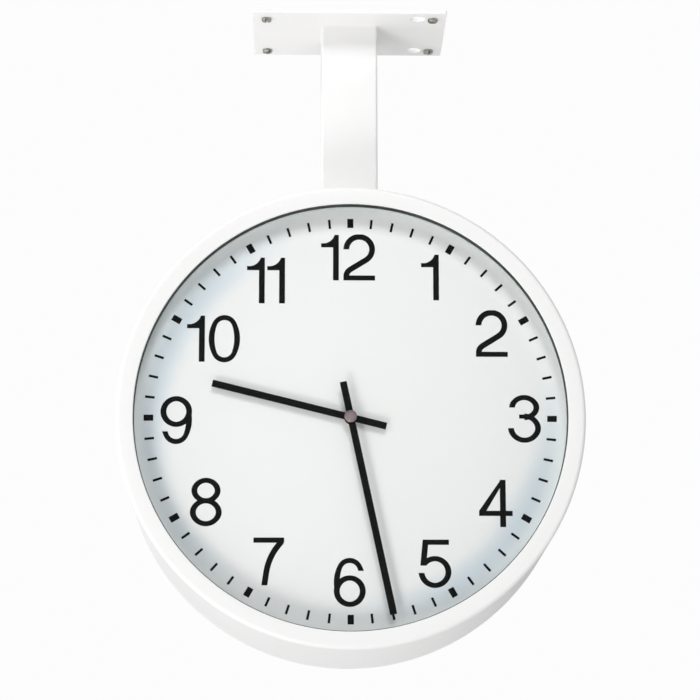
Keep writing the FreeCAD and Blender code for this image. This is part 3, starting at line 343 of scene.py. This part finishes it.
def screw_skin():
    """Radius against height: a nearly flat head with a quarter circle round its lower edge, the neck
    in the plate, then the thread as a saw tooth that climbs one pitch in each turn."""
    turn = np.linspace(0, 2 * np.pi, ROUND_STEPS, endpoint=False)
    bottom = plate_low.z - head_height
    flat = head_radius - HEAD_ROUND
    profile = [(flat * share, bottom + HEAD_CROWN * share ** 2) for share in HEAD_SHARES]
    bend = np.linspace(0, np.pi / 2, BEND_POINTS)
    middle = bottom + HEAD_CROWN + HEAD_ROUND
    profile += [(flat + HEAD_ROUND * math.sin(a), middle - HEAD_ROUND * math.cos(a)) for a in bend]
    profile += [(head_radius, plate_low.z - HEAD_EDGE), (head_radius - HEAD_EDGE, plate_low.z)]
    profile += [(NECK_RADIUS, plate_low.z), (NECK_RADIUS, plate_high.z)]
    rings = np.stack([np.column_stack([r * np.cos(turn), r * np.sin(turn), np.full(ROUND_STEPS, z)])
                      for r, z in profile])
    start = plate_high.z + THREAD_END
    height = np.arange(start, screws_high.z - THREAD_END, THREAD_PITCH / THREAD_STEPS)
    z, a = np.meshgrid(height, turn, indexing="ij")
    phase = (z / THREAD_PITCH - a / (2 * np.pi)) % 1.0
    tooth = np.abs(phase - 0.5) * 2
    taper = np.clip((screws_high.z - z) / TIP_TAPER, 0.0, 1.0)
    radius = (SHANK_RADIUS - THREAD_DEPTH * tooth) * (TIP_WIDTH + (1.0 - TIP_WIDTH) * taper)
    thread = np.stack([radius * np.cos(a), radius * np.sin(a), z], -1)
    return np.concatenate([rings, thread])


def cut_slot(piece, turn):
    """Cuts the driver's slot across the head with a block."""
    bpy.ops.mesh.primitive_cube_add(size=1)
    cutter = bpy.context.object
    cutter.scale = (4 * head_radius, SLOT_WIDTH, SLOT_DEPTH * 2)
    cutter.rotation_euler = (0, 0, math.radians(turn))
    cutter.location = (0, 0, screws_low.z)
    cut = piece.modifiers.new("slot", "BOOLEAN")
    cut.object = cutter
    cut.operation = "DIFFERENCE"
    bpy.context.view_layer.update()
    shown = piece.evaluated_get(bpy.context.evaluated_depsgraph_get())
    mesh = bpy.data.meshes.new_from_object(shown)
    piece.modifiers.clear()
    piece.data = mesh
    bpy.data.objects.remove(cutter)


def closed_ends(piece):
    """Fills the small round openings at a skin's first and last ring."""
    shape = bmesh.new()
    shape.from_mesh(piece.data)
    bmesh.ops.holes_fill(shape, edges=[e for e in shape.edges if e.is_boundary], sides=0)
    bmesh.ops.recalc_face_normals(shape, faces=shape.faces)
    shape.to_mesh(piece.data)
    shape.free()
    return piece


def joined(name, pieces):
    """One object from several meshes that sit in place already."""
    shape = bmesh.new()
    for piece in pieces:
        shape.from_mesh(piece.data)
        bpy.data.objects.remove(piece)
    mesh = bpy.data.meshes.new(name)
    shape.to_mesh(mesh)
    shape.free()
    whole = bpy.data.objects.new(name, mesh)
    bpy.context.scene.collection.objects.link(whole)
    return whole


screws = []
for number, turn in enumerate(SLOT_TURNS):
    screw = closed_ends(skin("screw", screw_skin(), False))
    cut_slot(screw, turn)
    right = SCREW_SPACING[0] / 2 * (1 if number >= 2 else -1)
    back = SCREW_SPACING[1] / 2 * (1 if number % 2 else -1)
    screw.data.transform(Matrix.Translation((right, back, 0)))
    screws.append(screw)
ceiling_screws = crisp(joined("ceiling_screws_slotted", screws), 32.0)
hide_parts("ceiling_screws")
finished(ceiling_screws, bright_zinc())


# ---- Arm foot, bolts, nuts and saddle ----
# Inside the case: the arm's welded foot plate, bolted down on a folded channel that joins the two
# mount rings. Zinc plated sheet and stock M6 bolts and nuts, never painted.

def zinc_sheet():
    """Galvanised sheet: large flat crystals of slightly different tone and gloss."""
    sheet = Finish("zinc_plated_sheet")
    crystals = sheet.add("ShaderNodeTexVoronoi", {}, {"Vector": sheet.place, "Scale": 160.0}, "Color")
    tone = sheet.add("ShaderNodeSeparateColor", {}, {"Color": crystals}, "Red")
    grain = sheet.noise(900.0, 3.0)
    return sheet.surface(
        Base_Color=sheet.between((0.50, 0.51, 0.53), (0.68, 0.69, 0.70), tone),
        Metallic=1.0,
        Roughness=tone * 0.16 + grain * 0.12 + 0.28,
        Normal=sheet.bump(grain, 0.00003),
    )


def keep(node, material):
    """A CAD node that keeps its own mesh and takes a finish."""
    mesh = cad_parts[node].data
    mesh.materials.clear()
    mesh.materials.append(material)


SHEET_EDGE = 0.0004
FASTENER_EDGE = 0.0003
plated = zinc_sheet()
for node, edge in (("arm_foot", SHEET_EDGE), ("arm_bolts", FASTENER_EDGE), ("arm_nuts", FASTENER_EDGE),
                   ("saddle_bracket", SHEET_EDGE)):
    finished(softened(node, node + "_plated", edge), plated)
keep("dial_mount_rings", plated)


# ---- Case drum ----
# Steel sheet 1.5 mm thick, rolled to a drum 400 mm across between the two rings and powder coated
# with them in the same white as the mount; the mount's copy is painted a shade lighter as painted
# light. At the top it has a square cut-out for the arm.

drum_low, drum_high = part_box("case_drum")
ring_low, ring_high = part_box("front_bezel")
case_radius = (ring_high.x - ring_low.x) / 2
axis_z = (ring_high.z + ring_low.z) / 2
face_depth = -ring_low.y
DRUM_WALL = 0.0015
DRUM_EDGE = 0.00025
CUTOUT_GAP = 0.0003
CUTOUT_STEPS = 9
DRUM_STEPS = 288


def drum_skin():
    """A cylinder as a grid of angle and depth, whose cells inside the arm's cut-out are left out.
    The wall grows inwards from it."""
    half = arm_half + CUTOUT_GAP
    lean = math.asin(half / case_radius)
    open_span = np.linspace(-lean, lean, CUTOUT_STEPS)
    rest = np.linspace(lean, 2 * np.pi - lean, DRUM_STEPS)[1:-1]
    angles = np.concatenate([open_span, rest])
    depths = np.array([drum_low.y, -half, -half / 3, half / 3, half, drum_high.y])
    y, a = np.meshgrid(depths, angles, indexing="ij")
    points = np.stack([case_radius * np.sin(a), y, axis_z + case_radius * np.cos(a)], -1)
    count = len(angles)
    row, col = np.meshgrid(np.arange(len(depths) - 1), np.arange(count), indexing="ij")
    kept = (row < 1) | (row > 3) | (col >= CUTOUT_STEPS - 1)
    here = (row * count + col)[kept]
    beside = (row * count + (col + 1) % count)[kept]
    faces = np.stack([here, beside, beside + count, here + count], -1)
    mesh = bpy.data.meshes.new("case_drum_rolled")
    mesh.from_pydata(points.reshape(-1, 3), [], faces.tolist())
    mesh.shade_smooth()
    piece = bpy.data.objects.new("case_drum_rolled", mesh)
    bpy.context.scene.collection.objects.link(piece)
    return piece


white_coat = powder_coat("white_powder_coat_case", (0.875, 0.875, 0.87))
drum = facing_out(drum_skin())
wall = drum.modifiers.new("wall", "SOLIDIFY")
wall.thickness = DRUM_WALL
wall.offset = -1.0
edges = drum.modifiers.new("rolled_edges", "BEVEL")
edges.width = DRUM_EDGE
edges.segments = 2
edges.limit_method = "ANGLE"
edges.angle_limit = math.radians(40)
edges.harden_normals = True
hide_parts("case_drum")
finished(drum, white_coat)


# ---- Rings ----
# On each side a pressed and spun steel ring: flat face, rounded outer corner and a skirt as wide
# as the drum, powder coated white. It springs over four clips and holds the glass in its seal.

TURN_STEPS = 320


def rounded_profile(corners, steps=8):
    """A closed outline of (radius, depth, rounding) corners, each rounded by an arc that touches
    both of its sides."""
    out = []
    count = len(corners)
    for k in range(count):
        r, d, rounding = corners[k]
        here = Vector((r, d))
        before = Vector(corners[k - 1][:2]) - here
        after = Vector(corners[(k + 1) % count][:2]) - here
        if rounding == 0:
            out.append((here.x, here.y))
            continue
        before.normalize()
        after.normalize()
        half = before.angle(after) / 2
        middle = here + (before + after).normalized() * rounding / math.sin(half)
        start = here + before * rounding / math.tan(half) - middle
        turn = start.angle_signed(here + after * rounding / math.tan(half) - middle)
        for step in range(steps + 1):
            spoke = Matrix.Rotation(-turn * step / steps, 2) @ start
            out.append((middle.x + spoke.x, middle.y + spoke.y))
    return out


def on_side(points, rear):
    """From (right, up, depth) in a side's own frame to the clock's frame; the rear side is the
    front one turned half a turn about the vertical axis."""
    x, y, depth = points[..., 0], points[..., 1], points[..., 2]
    turned = -1.0 if rear else 1.0
    return np.stack([turned * x, turned * (depth - face_depth), axis_z + y], -1)


def lathed(name, profile, rear, steps=TURN_STEPS):
    """A (radius, depth) outline carried once round the clock's axis. An outline that starts and ends
    on the axis closes there in a point; any other one closes on itself."""
    turn = np.linspace(0, 2 * np.pi, steps, endpoint=False)
    outline = np.array(profile)
    radius, angle = np.meshgrid(outline[:, 0], turn, indexing="ij")
    depth = np.repeat(outline[:, 1:2], steps, axis=1)
    points = np.stack([radius * np.sin(angle), radius * np.cos(angle), depth], -1)
    return facing_out(skin(name, on_side(points, rear), profile[0][0] > 0))


RING_FACE = 0.015
RING_SHEET = 0.002
RING_ROUND = 0.0035
LIP_ROUND = 0.0008
LIP_BACK_ROUND = 0.0004
SKIRT_ROUND = 0.0003
ring_skirt = ring_high.y - ring_low.y
opening_radius = case_radius - RING_FACE
SIDES = (("front", False), ("rear", True))
for side, rear in SIDES:
    ring = crisp(lathed(side + "_bezel_spun", rounded_profile([
        (opening_radius, 0, LIP_ROUND),
        (case_radius, 0, RING_ROUND),
        (case_radius, ring_skirt, SKIRT_ROUND),
        (case_radius - RING_SHEET, ring_skirt, SKIRT_ROUND),
        (case_radius - RING_SHEET, RING_SHEET, RING_ROUND - RING_SHEET),
        (opening_radius, RING_SHEET, LIP_BACK_ROUND),
    ]), rear))
    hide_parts(side + "_bezel")
    finished(ring, white_coat)


# ---- Glass and its seal ----
# Flat float glass 3 mm thick with ground edges, in a black rubber channel that lies behind the
# ring's lip. Behind the seal a pale plastic ring holds the glass and the dial apart.

def clear_glass():
    """Clear sheet: what it doesn't reflect passes, with the faint green of float glass."""
    glass = Finish("float_glass")
    haze = glass.noise(40.0)
    share = glass.add("ShaderNodeFresnel", {}, {"IOR": 1.5})
    through = glass.add("ShaderNodeBsdfTransparent", {}, {"Color": (0.997, 1.0, 0.998, 1.0)})
    gloss = glass.add("ShaderNodeBsdfPrincipled", {}, {
        "Base Color": (0.9, 0.95, 0.93, 1.0), "Metallic": 1.0, "Roughness": haze * 0.03 + 0.02})
    mixed = glass.add("ShaderNodeMixShader", {}, {0: share * 0.12, 1: through, 2: gloss})
    glass.add("ShaderNodeOutputMaterial", {}, {"Surface": mixed})
    return glass.material


def ground_edge():
    """The glass's ground rim: deep bottle green, matt with fine grinding marks."""
    rim = Finish("ground_glass_edge")
    marks = rim.noise(1500.0, 2.0)
    return rim.surface(
        Base_Color=rim.between((0.04, 0.12, 0.09), (0.12, 0.26, 0.20), marks),
        Roughness=marks * 0.3 + 0.3,
    )


def seal_rubber():
    """Black rubber with a dull bloom in patches and a fine moulded grain."""
    rubber = Finish("seal_rubber")
    bloom = rubber.noise(60.0, 3.0)
    grain = rubber.noise(2400.0, 2.0)
    return rubber.surface(
        Base_Color=rubber.between((0.025, 0.036, 0.034), (0.06, 0.075, 0.07), bloom),
        Roughness=bloom * 0.2 + 0.5,
        Normal=rubber.bump(grain, 0.00005),
    )


def pale_plastic():
    """The spacer's moulded plastic, off-white with a green cast and fine draw lines."""
    plastic = Finish("spacer_plastic")
    tone = plastic.noise(30.0, 2.0)
    lines = plastic.noise(60.0, 2.0, (1.0, 30.0, 1.0))
    return plastic.surface(
        Base_Color=plastic.between((0.64, 0.68, 0.67), (0.72, 0.76, 0.745), tone),
        Roughness=lines * 0.15 + 0.4,
        Normal=plastic.bump(lines, 0.00005),
    )


glass_clear = clear_glass()
glass_rim = ground_edge()
rubber_black = seal_rubber()
spacer_pale = pale_plastic()


def node_profile(node):
    """Outer radius, first depth and last depth of a round CAD node of the front side."""
    low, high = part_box(node)
    return (high.x - low.x) / 2, low.y + face_depth, high.y + face_depth


glass_radius, glass_near, glass_far = node_profile("front_glass")
seal_outer, seal_near, seal_far = node_profile("front_glass_seal")
spacer_outer, spacer_near, spacer_far = node_profile("front_spacer_ring")
SEAL_PROUD = 0.0007
SEAL_WEB = 0.0015
SEAL_LIP_ROUND = 0.0004
SEAL_ROUND = 0.0002
GROOVE_ROUND = 0.0001
SPACER_WIDTH = 0.005
MOULD_ROUND = 0.0003
GLASS_CHAMFER = 0.0004

for side, rear in SIDES:
    sheet = lathed(side + "_glass_sheet", [
        (0.0, glass_near), (glass_radius - GLASS_CHAMFER, glass_near),
        (glass_radius, glass_near + GLASS_CHAMFER), (glass_radius, glass_far - GLASS_CHAMFER),
        (glass_radius - GLASS_CHAMFER, glass_far), (0.0, glass_far),
    ], rear)
    crisp(sheet, 20.0)
    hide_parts(side + "_glass")
    finished(sheet, glass_clear)
    sheet.data.materials.append(glass_rim)
    centres = np.empty(len(sheet.data.polygons) * 3)
    sheet.data.polygons.foreach_get("center", centres)
    from_axis = np.hypot(centres[0::3], centres[2::3] - axis_z)
    on_rim = (from_axis > glass_radius - GLASS_CHAMFER * 1.2).astype(np.int32)
    sheet.data.polygons.foreach_set("material_index", on_rim)

    lip = opening_radius - SEAL_PROUD
    groove = seal_outer - SEAL_WEB
    seal = crisp(lathed(side + "_seal_channel", rounded_profile([
        (lip, seal_near, MOULD_ROUND), (seal_outer, seal_near, SEAL_ROUND),
        (seal_outer, seal_far, SEAL_ROUND), (lip, seal_far, SEAL_LIP_ROUND),
        (lip, glass_far, GROOVE_ROUND), (groove, glass_far, 0), (groove, glass_near, 0),
        (lip, glass_near, GROOVE_ROUND),
    ], 3), rear))
    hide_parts(side + "_glass_seal")
    finished(seal, rubber_black)

    spacer_inner = spacer_outer - SPACER_WIDTH
    spacer = crisp(lathed(side + "_spacer_moulded", rounded_profile([
        (spacer_inner, spacer_near, MOULD_ROUND), (spacer_outer, spacer_near, MOULD_ROUND),
        (spacer_outer, spacer_far, MOULD_ROUND), (spacer_inner, spacer_far, MOULD_ROUND),
    ], 3), rear))
    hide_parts(side + "_spacer_ring")
    finished(spacer, spacer_pale)


# ---- Dials and their printing ----
# Lacquered aluminium disc 1 mm thick, near white, with the numerals and sixty marks screen
# printed in matt black. Towards the rim its colour holds painted cool grey shade and a painted lighter
# white.

def dial_lacquer_painted_shade():
    """White lacquer with painted cool grey shade towards the rim, in place of the recess's shadow:
    none towards one o'clock, thin towards six, widest towards ten and four, and thinning again at the very
    rim."""
    lacquer = Finish("dial_lacquer_painted_shade")
    x = lacquer.axis("X")
    z = lacquer.axis("Z") - axis_z
    radius = (x * x + z * z).root()
    painted_shade_clouds = lacquer.noise(11.0, 2.0)
    painted_rim_ramp = lacquer.span(radius + (painted_shade_clouds - 0.5) * 0.02 - x * z * 0.45, *PAINTED_SHADE_RISE)
    toward_one = (x * math.sin(PAINTED_SHADE_FREE) + z * math.cos(PAINTED_SHADE_FREE)) / opening_radius
    toward_six = (x * math.sin(PAINTED_SHADE_THIN) + z * math.cos(PAINTED_SHADE_THIN)) / opening_radius
    painted_shade_thinned = 1.0 - lacquer.span(toward_six, 0.65, 0.95) * 0.75
    painted_shade_ebb = 1.0 - lacquer.span(radius, *PAINTED_SHADE_EBB) * 0.6
    painted_shade = painted_rim_ramp * lacquer.span(toward_one, 0.80, 0.10) * painted_shade_thinned * painted_shade_ebb
    # The white is painted lighter towards the rim: painted light against the lip's shadow.
    white = lacquer.between((0.878, 0.881, 0.878), (0.95, 0.95, 0.95), painted_rim_ramp)
    grain = lacquer.noise(1300.0, 2.0)
    return lacquer.surface(
        Base_Color=lacquer.tint(white, (0.70, 0.775, 0.83), painted_shade),
        Roughness=grain * 0.1 + 0.5,
        Normal=lacquer.bump(grain, 0.00001),
    )


def dial_ink():
    """Printed matt black: slightly uneven cover, with the weave of the screen just felt."""
    ink = Finish("printed_black")
    cover = ink.noise(300.0, 3.0)
    weave = ink.noise(2600.0, 1.0)
    return ink.surface(
        Base_Color=ink.between((0.0025, 0.0035, 0.0035), (0.007, 0.0085, 0.0085), cover),
        Roughness=cover * 0.2 + 0.6,
        Normal=ink.bump(weave, 0.00002),
        Specular_IOR_Level=0.05,
    )


# Bearings and radii of the dial's painted rim shade.
PAINTED_SHADE_FREE = math.radians(30.0)
PAINTED_SHADE_THIN = math.radians(192.0)
PAINTED_SHADE_RISE = (0.152, 0.174)
PAINTED_SHADE_EBB = (0.170, 0.184)
# The dial's white carries painted shade and painted light towards its rim.
dial_white_painted_shade = dial_lacquer_painted_shade()
ink_black = dial_ink()
dial_radius, dial_near, dial_far = node_profile("front_dial")
DIAL_HOLE = 0.0041
DIAL_EDGE = 0.0002
for side, rear in SIDES:
    disc = crisp(lathed(side + "_dial_disc", rounded_profile([
        (DIAL_HOLE, dial_near, 0), (dial_radius, dial_near, DIAL_EDGE),
        (dial_radius, dial_far, DIAL_EDGE), (DIAL_HOLE, dial_far, 0),
    ], 2), rear))
    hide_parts(side + "_dial")
    finished(disc, dial_white_painted_shade)
    keep(side + "_dial_print", ink_black)


# ---- Hands and cap ----
# Punched aluminium bars, lacquered matt black, each on a turned hub: the hour hand on the pipe,
# the minute hand on the arbor. A small smoked clear dome is pressed on the arbor's end.

def hand_black():
    """Matt black lacquer, slightly dusty, a shade lighter where it has been wiped."""
    black = Finish("hand_lacquer")
    dust = black.noise(900.0, 3.0)
    wiped = black.noise(50.0, 2.0)
    return black.surface(
        Base_Color=black.between((0.0025, 0.0025, 0.003), (0.009, 0.009, 0.010), dust * wiped),
        Roughness=wiped * 0.2 + 0.5,
        Normal=black.bump(dust, 0.00002),
        Specular_IOR_Level=0.07,
    )


def smoked_dome():
    """Smoked clear plastic with a warm pink cast and a polished skin, and painted shade where it curves
    away.
    """
    smoke = Finish("smoked_clear_plastic")
    swirl = smoke.noise(260.0, 2.0)
    painted_rim_shade = smoke.add("ShaderNodeLayerWeight", {}, {"Blend": 0.35}, "Facing")
    return smoke.surface(
        Base_Color=smoke.between((0.62, 0.47, 0.50), (0.08, 0.05, 0.06), painted_rim_shade * 1.5 + swirl * 0.1),
        Roughness=swirl * 0.05 + 0.04,
        Transmission_Weight=0.55,
        IOR=1.49,
    )


lacquer_black = hand_black()
smoked = smoked_dome()
cap_low, cap_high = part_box("front_hand_cap")
cap_radius = (cap_high.x - cap_low.x) / 2
cap_front = cap_low.y + face_depth
cap_back = cap_high.y + face_depth
BLADE_EDGE = 0.00012
CAP_EDGE = 0.0006
CAP_STEPS = 64
DOME_POINTS = 15
ARBOR_RADIUS = 0.001
CAP_SOCKET = 0.0012
rise = cap_back - cap_front - CAP_EDGE
sphere = (cap_radius ** 2 + rise ** 2) / (2 * rise)
from_centre = cap_radius * np.sin(np.linspace(0.0, np.pi / 2, DOME_POINTS))
dome = list(zip(from_centre, cap_front + sphere - np.sqrt(sphere ** 2 - from_centre ** 2)))
dome += [(cap_radius, cap_back), (ARBOR_RADIUS, cap_back), (ARBOR_RADIUS, cap_back - CAP_SOCKET),
         (0.0, cap_back - CAP_SOCKET)]
for side, rear in SIDES:
    for hand in ("hour", "minute"):
        node = side + "_" + hand + "_hand"
        blade = softened(node, node + "_punched", BLADE_EDGE, 2)
        finished(blade, lacquer_black, side + "_" + hand + "_body")
    cap = crisp(lathed(side + "_hand_cap_dome", dome, rear, CAP_STEPS))
    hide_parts(side + "_hand_cap")
    finished(cap, smoked, side + "_minute_body")


# ---- Fixing nuts, washers and clips ----
# Where each movement's bush comes through the dial: rubber gasket behind, brass washer and a
# black anodised nut in front. The spring steel clips stand on the mount rings.

def black_anodised():
    """Anodised aluminium, turned: fine rings round the clock's axis under the black."""
    nut = Finish("black_anodised")
    x = nut.axis("X")
    z = nut.axis("Z") - axis_z
    rings = ((x * x + z * z) * 9.0e6).wave()
    wear = nut.noise(500.0, 3.0)
    return nut.surface(
        Base_Color=nut.between((0.010, 0.010, 0.011), (0.035, 0.035, 0.038), wear),
        Metallic=0.7,
        Roughness=wear * 0.2 + 0.3,
        Normal=nut.bump(rings, 0.00001),
    )


def turned_brass():
    """Brass with turning lines along the clock's axis and a little tarnish."""
    brass = Finish("turned_brass")
    lines = brass.noise(90.0, 2.0, (1.0, 60.0, 1.0))
    tarnish = brass.noise(350.0, 3.0)
    return brass.surface(
        Base_Color=brass.between((0.48, 0.34, 0.14), (0.78, 0.62, 0.32), tarnish),
        Metallic=1.0,
        Roughness=tarnish * 0.2 + 0.2,
        Normal=brass.bump(lines, 0.00002),
    )


def spring_strip():
    """Rolled spring steel: straight rolling lines and a straw coloured temper."""
    spring = Finish("spring_strip")
    lines = spring.noise(120.0, 2.0, (1.0, 1.0, 25.0))
    temper = spring.noise(80.0)
    return spring.surface(
        Base_Color=spring.between((0.50, 0.46, 0.38), (0.66, 0.65, 0.62), temper),
        Metallic=1.0,
        Roughness=lines * 0.2 + 0.2,
        Normal=spring.bump(lines, 0.00002),
    )


brass_turned = turned_brass()
spring_steel = spring_strip()
keep("shaft_gaskets", rubber_black)
keep("shaft_washers", brass_turned)
keep("shaft_nuts", black_anodised())
keep("bezel_clips", spring_steel)


# ---- Quartz movements ----
# One on the back of each dial: a moulded black box and cover with a battery bay, a stepping motor
# (coil, iron frame, magnet rotor), a circuit board and moulded wheels on thin arbors.

def moulded_black():
    """Black styrene with the spark-eroded texture of its mould."""
    black = Finish("moulded_black")
    spark = black.noise(2200.0, 3.0)
    flow = black.noise(45.0)
    return black.surface(
        Base_Color=black.between((0.016, 0.016, 0.017), (0.034, 0.034, 0.036), flow),
        Roughness=spark * 0.2 + 0.4,
        Normal=black.bump(spark, 0.00008),
    )


def acetal():
    """Ivory acetal of the wheels, waxy, with faint flow lines."""
    wheel = Finish("moulded_acetal")
    flow = wheel.noise(400.0, 3.0)
    return wheel.surface(
        Base_Color=wheel.between((0.74, 0.73, 0.66), (0.86, 0.85, 0.79), flow),
        Roughness=flow * 0.15 + 0.35,
        Subsurface_Weight=0.1,
    )


def battery_sleeve():
    """A plain printed sleeve: dark grey with a silver band at the raised end, and bare metal ends."""
    sleeve = Finish("battery_sleeve")
    along = sleeve.axis("X") / BATTERY_LENGTH + 0.5
    colours = sleeve.ramp(along, (0.0, (0.55, 0.55, 0.56)), (0.02, (0.09, 0.10, 0.12)),
                          (0.70, (0.09, 0.10, 0.12)), (0.71, (0.60, 0.61, 0.63)),
                          (1.0, (0.62, 0.62, 0.63)))
    scuff = sleeve.noise(600.0, 3.0)
    return sleeve.surface(
        Base_Color=colours,
        Metallic=0.6,
        Roughness=scuff * 0.2 + 0.25,
    )


def copper_winding():
    """Enamelled copper wire, its turns felt as ribs across the coil."""
    copper = Finish("copper_winding")
    turns = (copper.axis("X") * 26000.0).wave()
    tone = copper.noise(500.0, 2.0)
    return copper.surface(
        Base_Color=copper.between((0.45, 0.17, 0.08), (0.72, 0.34, 0.18), tone),
        Metallic=0.8,
        Roughness=tone * 0.2 + 0.25,
        Normal=copper.bump(turns, 0.00004),
    )


def soft_iron():
    """Punched iron sheet with a dull skin and rust just starting in specks."""
    iron = Finish("soft_iron")
    skin_tone = iron.noise(300.0, 3.0)
    return iron.surface(
        Base_Color=iron.between((0.28, 0.27, 0.27), (0.48, 0.48, 0.49), skin_tone),
        Metallic=1.0,
        Roughness=skin_tone * 0.2 + 0.4,
    )


def solder_mask():
    """Green board, lighter where the copper tracks run under the mask."""
    board = Finish("solder_mask")
    tracks = board.add("ShaderNodeTexBrick", {}, {
        "Vector": board.place, "Color1": (0.02, 0.16, 0.07, 1.0), "Color2": (0.025, 0.20, 0.09, 1.0),
        "Mortar": (0.05, 0.34, 0.17, 1.0), "Scale": 190.0, "Mortar Size": 0.03})
    gloss = board.noise(400.0)
    return board.surface(Base_Color=tracks, Roughness=gloss * 0.2 + 0.25)


def sintered_magnet():
    """Sintered ferrite, dark and grainy."""
    magnet = Finish("sintered_magnet")
    grain = magnet.noise(2800.0, 4.0)
    return magnet.surface(
        Base_Color=magnet.between((0.07, 0.07, 0.075), (0.17, 0.17, 0.18), grain),
        Metallic=0.4,
        Roughness=grain * 0.2 + 0.45,
        Normal=magnet.bump(grain, 0.00004),
    )


BATTERY_LENGTH = 0.0505
plastic_black = moulded_black()
plastic_ivory = acetal()
movement_finishes = {
    "movement_housing": plastic_black, "movement_cover": plastic_black, "setting_knob": plastic_black,
    "battery": battery_sleeve(), "coil": copper_winding(), "stator": soft_iron(),
    "circuit_board": solder_mask(), "rotor": sintered_magnet(), "intermediate_wheel": plastic_ivory,
    "centre_wheel": plastic_ivory, "minute_wheel": plastic_ivory, "hour_wheel": plastic_ivory,
    "minute_arbor": brass_turned,
}
keep("battery_contacts", spring_steel)
for side, _ in SIDES:
    for node, material in movement_finishes.items():
        keep(side + "_" + node, material)


# ---- Studio ----
# A pale floor well below the clock, lit by a lamp of its own, soft white light from all round, soft
# boxes from the left and from above, and the camera where the photographer stood, in front and below.

FLOOR_Z = -2.9
FLOOR_HALF = 12.0


def pale_floor():
    """Pale matt floor paint with a barely seen roller texture."""
    floor_paint = Finish("pale_floor")
    cloud = floor_paint.noise(1.5, 3.0)
    return floor_paint.surface(
        Base_Color=floor_paint.between((0.86, 0.86, 0.86), (0.90, 0.90, 0.90), cloud),
        Roughness=cloud * 0.1 + 0.7,
    )


floor_mesh = bpy.data.meshes.new("floor")
floor_mesh.from_pydata([(-FLOOR_HALF, -FLOOR_HALF, FLOOR_Z), (FLOOR_HALF, -FLOOR_HALF, FLOOR_Z),
                        (FLOOR_HALF, FLOOR_HALF, FLOOR_Z), (-FLOOR_HALF, FLOOR_HALF, FLOOR_Z)],
                       [], [(0, 1, 2, 3)])
floor_mesh.materials.append(pale_floor())
floor = bpy.data.objects.new("floor", floor_mesh)
bpy.context.scene.collection.objects.link(floor)


def aimed(thing, place, target):
    """Puts a lamp or camera at a place and turns it to look at the target."""
    item = bpy.data.objects.new(thing.name, thing)
    bpy.context.scene.collection.objects.link(item)
    item.location = place
    item.rotation_euler = (Vector(target) - Vector(place)).to_track_quat("-Z", "Y").to_euler()
    return item


def lamp(name, place, target, width, watts):
    """A square white lamp that the camera doesn't see."""
    light = bpy.data.lights.new(name, "AREA")
    light.size = width
    light.energy = watts
    aimed(light, place, target).visible_camera = False


def soft_box(name, bearing, height, distance, width, strength):
    """A square lamp aimed at the clock: bearing in degrees right of front, height in degrees above
    the horizon, strength as the light it puts on a white surface that faces it."""
    bearing, height = math.radians(bearing), math.radians(height)
    away = Vector((math.sin(bearing) * math.cos(height), -math.cos(bearing) * math.cos(height),
                   math.sin(height))) * distance
    middle = Vector((0.0, 0.0, axis_z))
    lamp(name, middle + away, middle, width, strength * (math.pi * distance) ** 2)


soft_box("low_left_key", -35.0, -42.0, 2.8, 0.8, 0.29)
soft_box("left_fill", -45.0, 8.0, 3.0, 1.0, 0.12)
soft_box("high_front", 6.0, 41.0, 3.0, 0.9, 0.38)
soft_box("left_high", -100.0, 50.0, 3.0, 0.8, 0.50)
soft_box("left_side", -85.0, -9.0, 0.97, 0.5, 0.18)
lamp("floor_wash", (0.0, 0.0, -1.2), (0.0, 0.001, FLOOR_Z), 22.0, 480.0)

ROOM_LIGHT = 0.41
ROOM_FALL = 0.10
BACKDROP = (0.98, 0.98, 0.98)
world = bpy.data.worlds.new("studio_white")
world.use_nodes = True
room = world.node_tree.nodes["Background"]
room.inputs["Color"].default_value = (1.0, 1.0, 1.0, 1.0)
direction = world.node_tree.nodes.new("ShaderNodeTexCoord")
sides = world.node_tree.nodes.new("ShaderNodeSeparateXYZ")
fall = world.node_tree.nodes.new("ShaderNodeMath")
fall.operation = "MULTIPLY_ADD"
fall.inputs[1].default_value = -ROOM_FALL
fall.inputs[2].default_value = ROOM_LIGHT
world.node_tree.links.new(direction.outputs["Generated"], sides.inputs[0])
world.node_tree.links.new(sides.outputs["X"], fall.inputs[0])
world.node_tree.links.new(fall.outputs[0], room.inputs["Strength"])
backdrop = world.node_tree.nodes.new("ShaderNodeBackground")
backdrop.inputs["Color"].default_value = (*BACKDROP, 1.0)
seen = world.node_tree.nodes.new("ShaderNodeLightPath")
chosen = world.node_tree.nodes.new("ShaderNodeMixShader")
world.node_tree.links.new(seen.outputs["Is Camera Ray"], chosen.inputs[0])
world.node_tree.links.new(room.outputs[0], chosen.inputs[1])
world.node_tree.links.new(backdrop.outputs[0], chosen.inputs[2])
world.node_tree.links.new(chosen.outputs[0], world.node_tree.nodes["World Output"].inputs[0])
bpy.context.scene.world = world
bpy.context.scene.view_settings.view_transform = "Standard"

CAMERA_AT = (-0.0485, -2.3445, -0.8237)
CAMERA_AIM = (-0.0008, -0.079, -0.3136)
CAMERA_ROLL = math.radians(-0.06)
camera_lens = bpy.data.cameras.new("camera")
camera_lens.sensor_width = 36.0
camera_lens.lens = 140.05
camera = aimed(camera_lens, CAMERA_AT, CAMERA_AIM)
camera.rotation_euler.rotate_axis("Z", CAMERA_ROLL)
bpy.context.scene.camera = camera
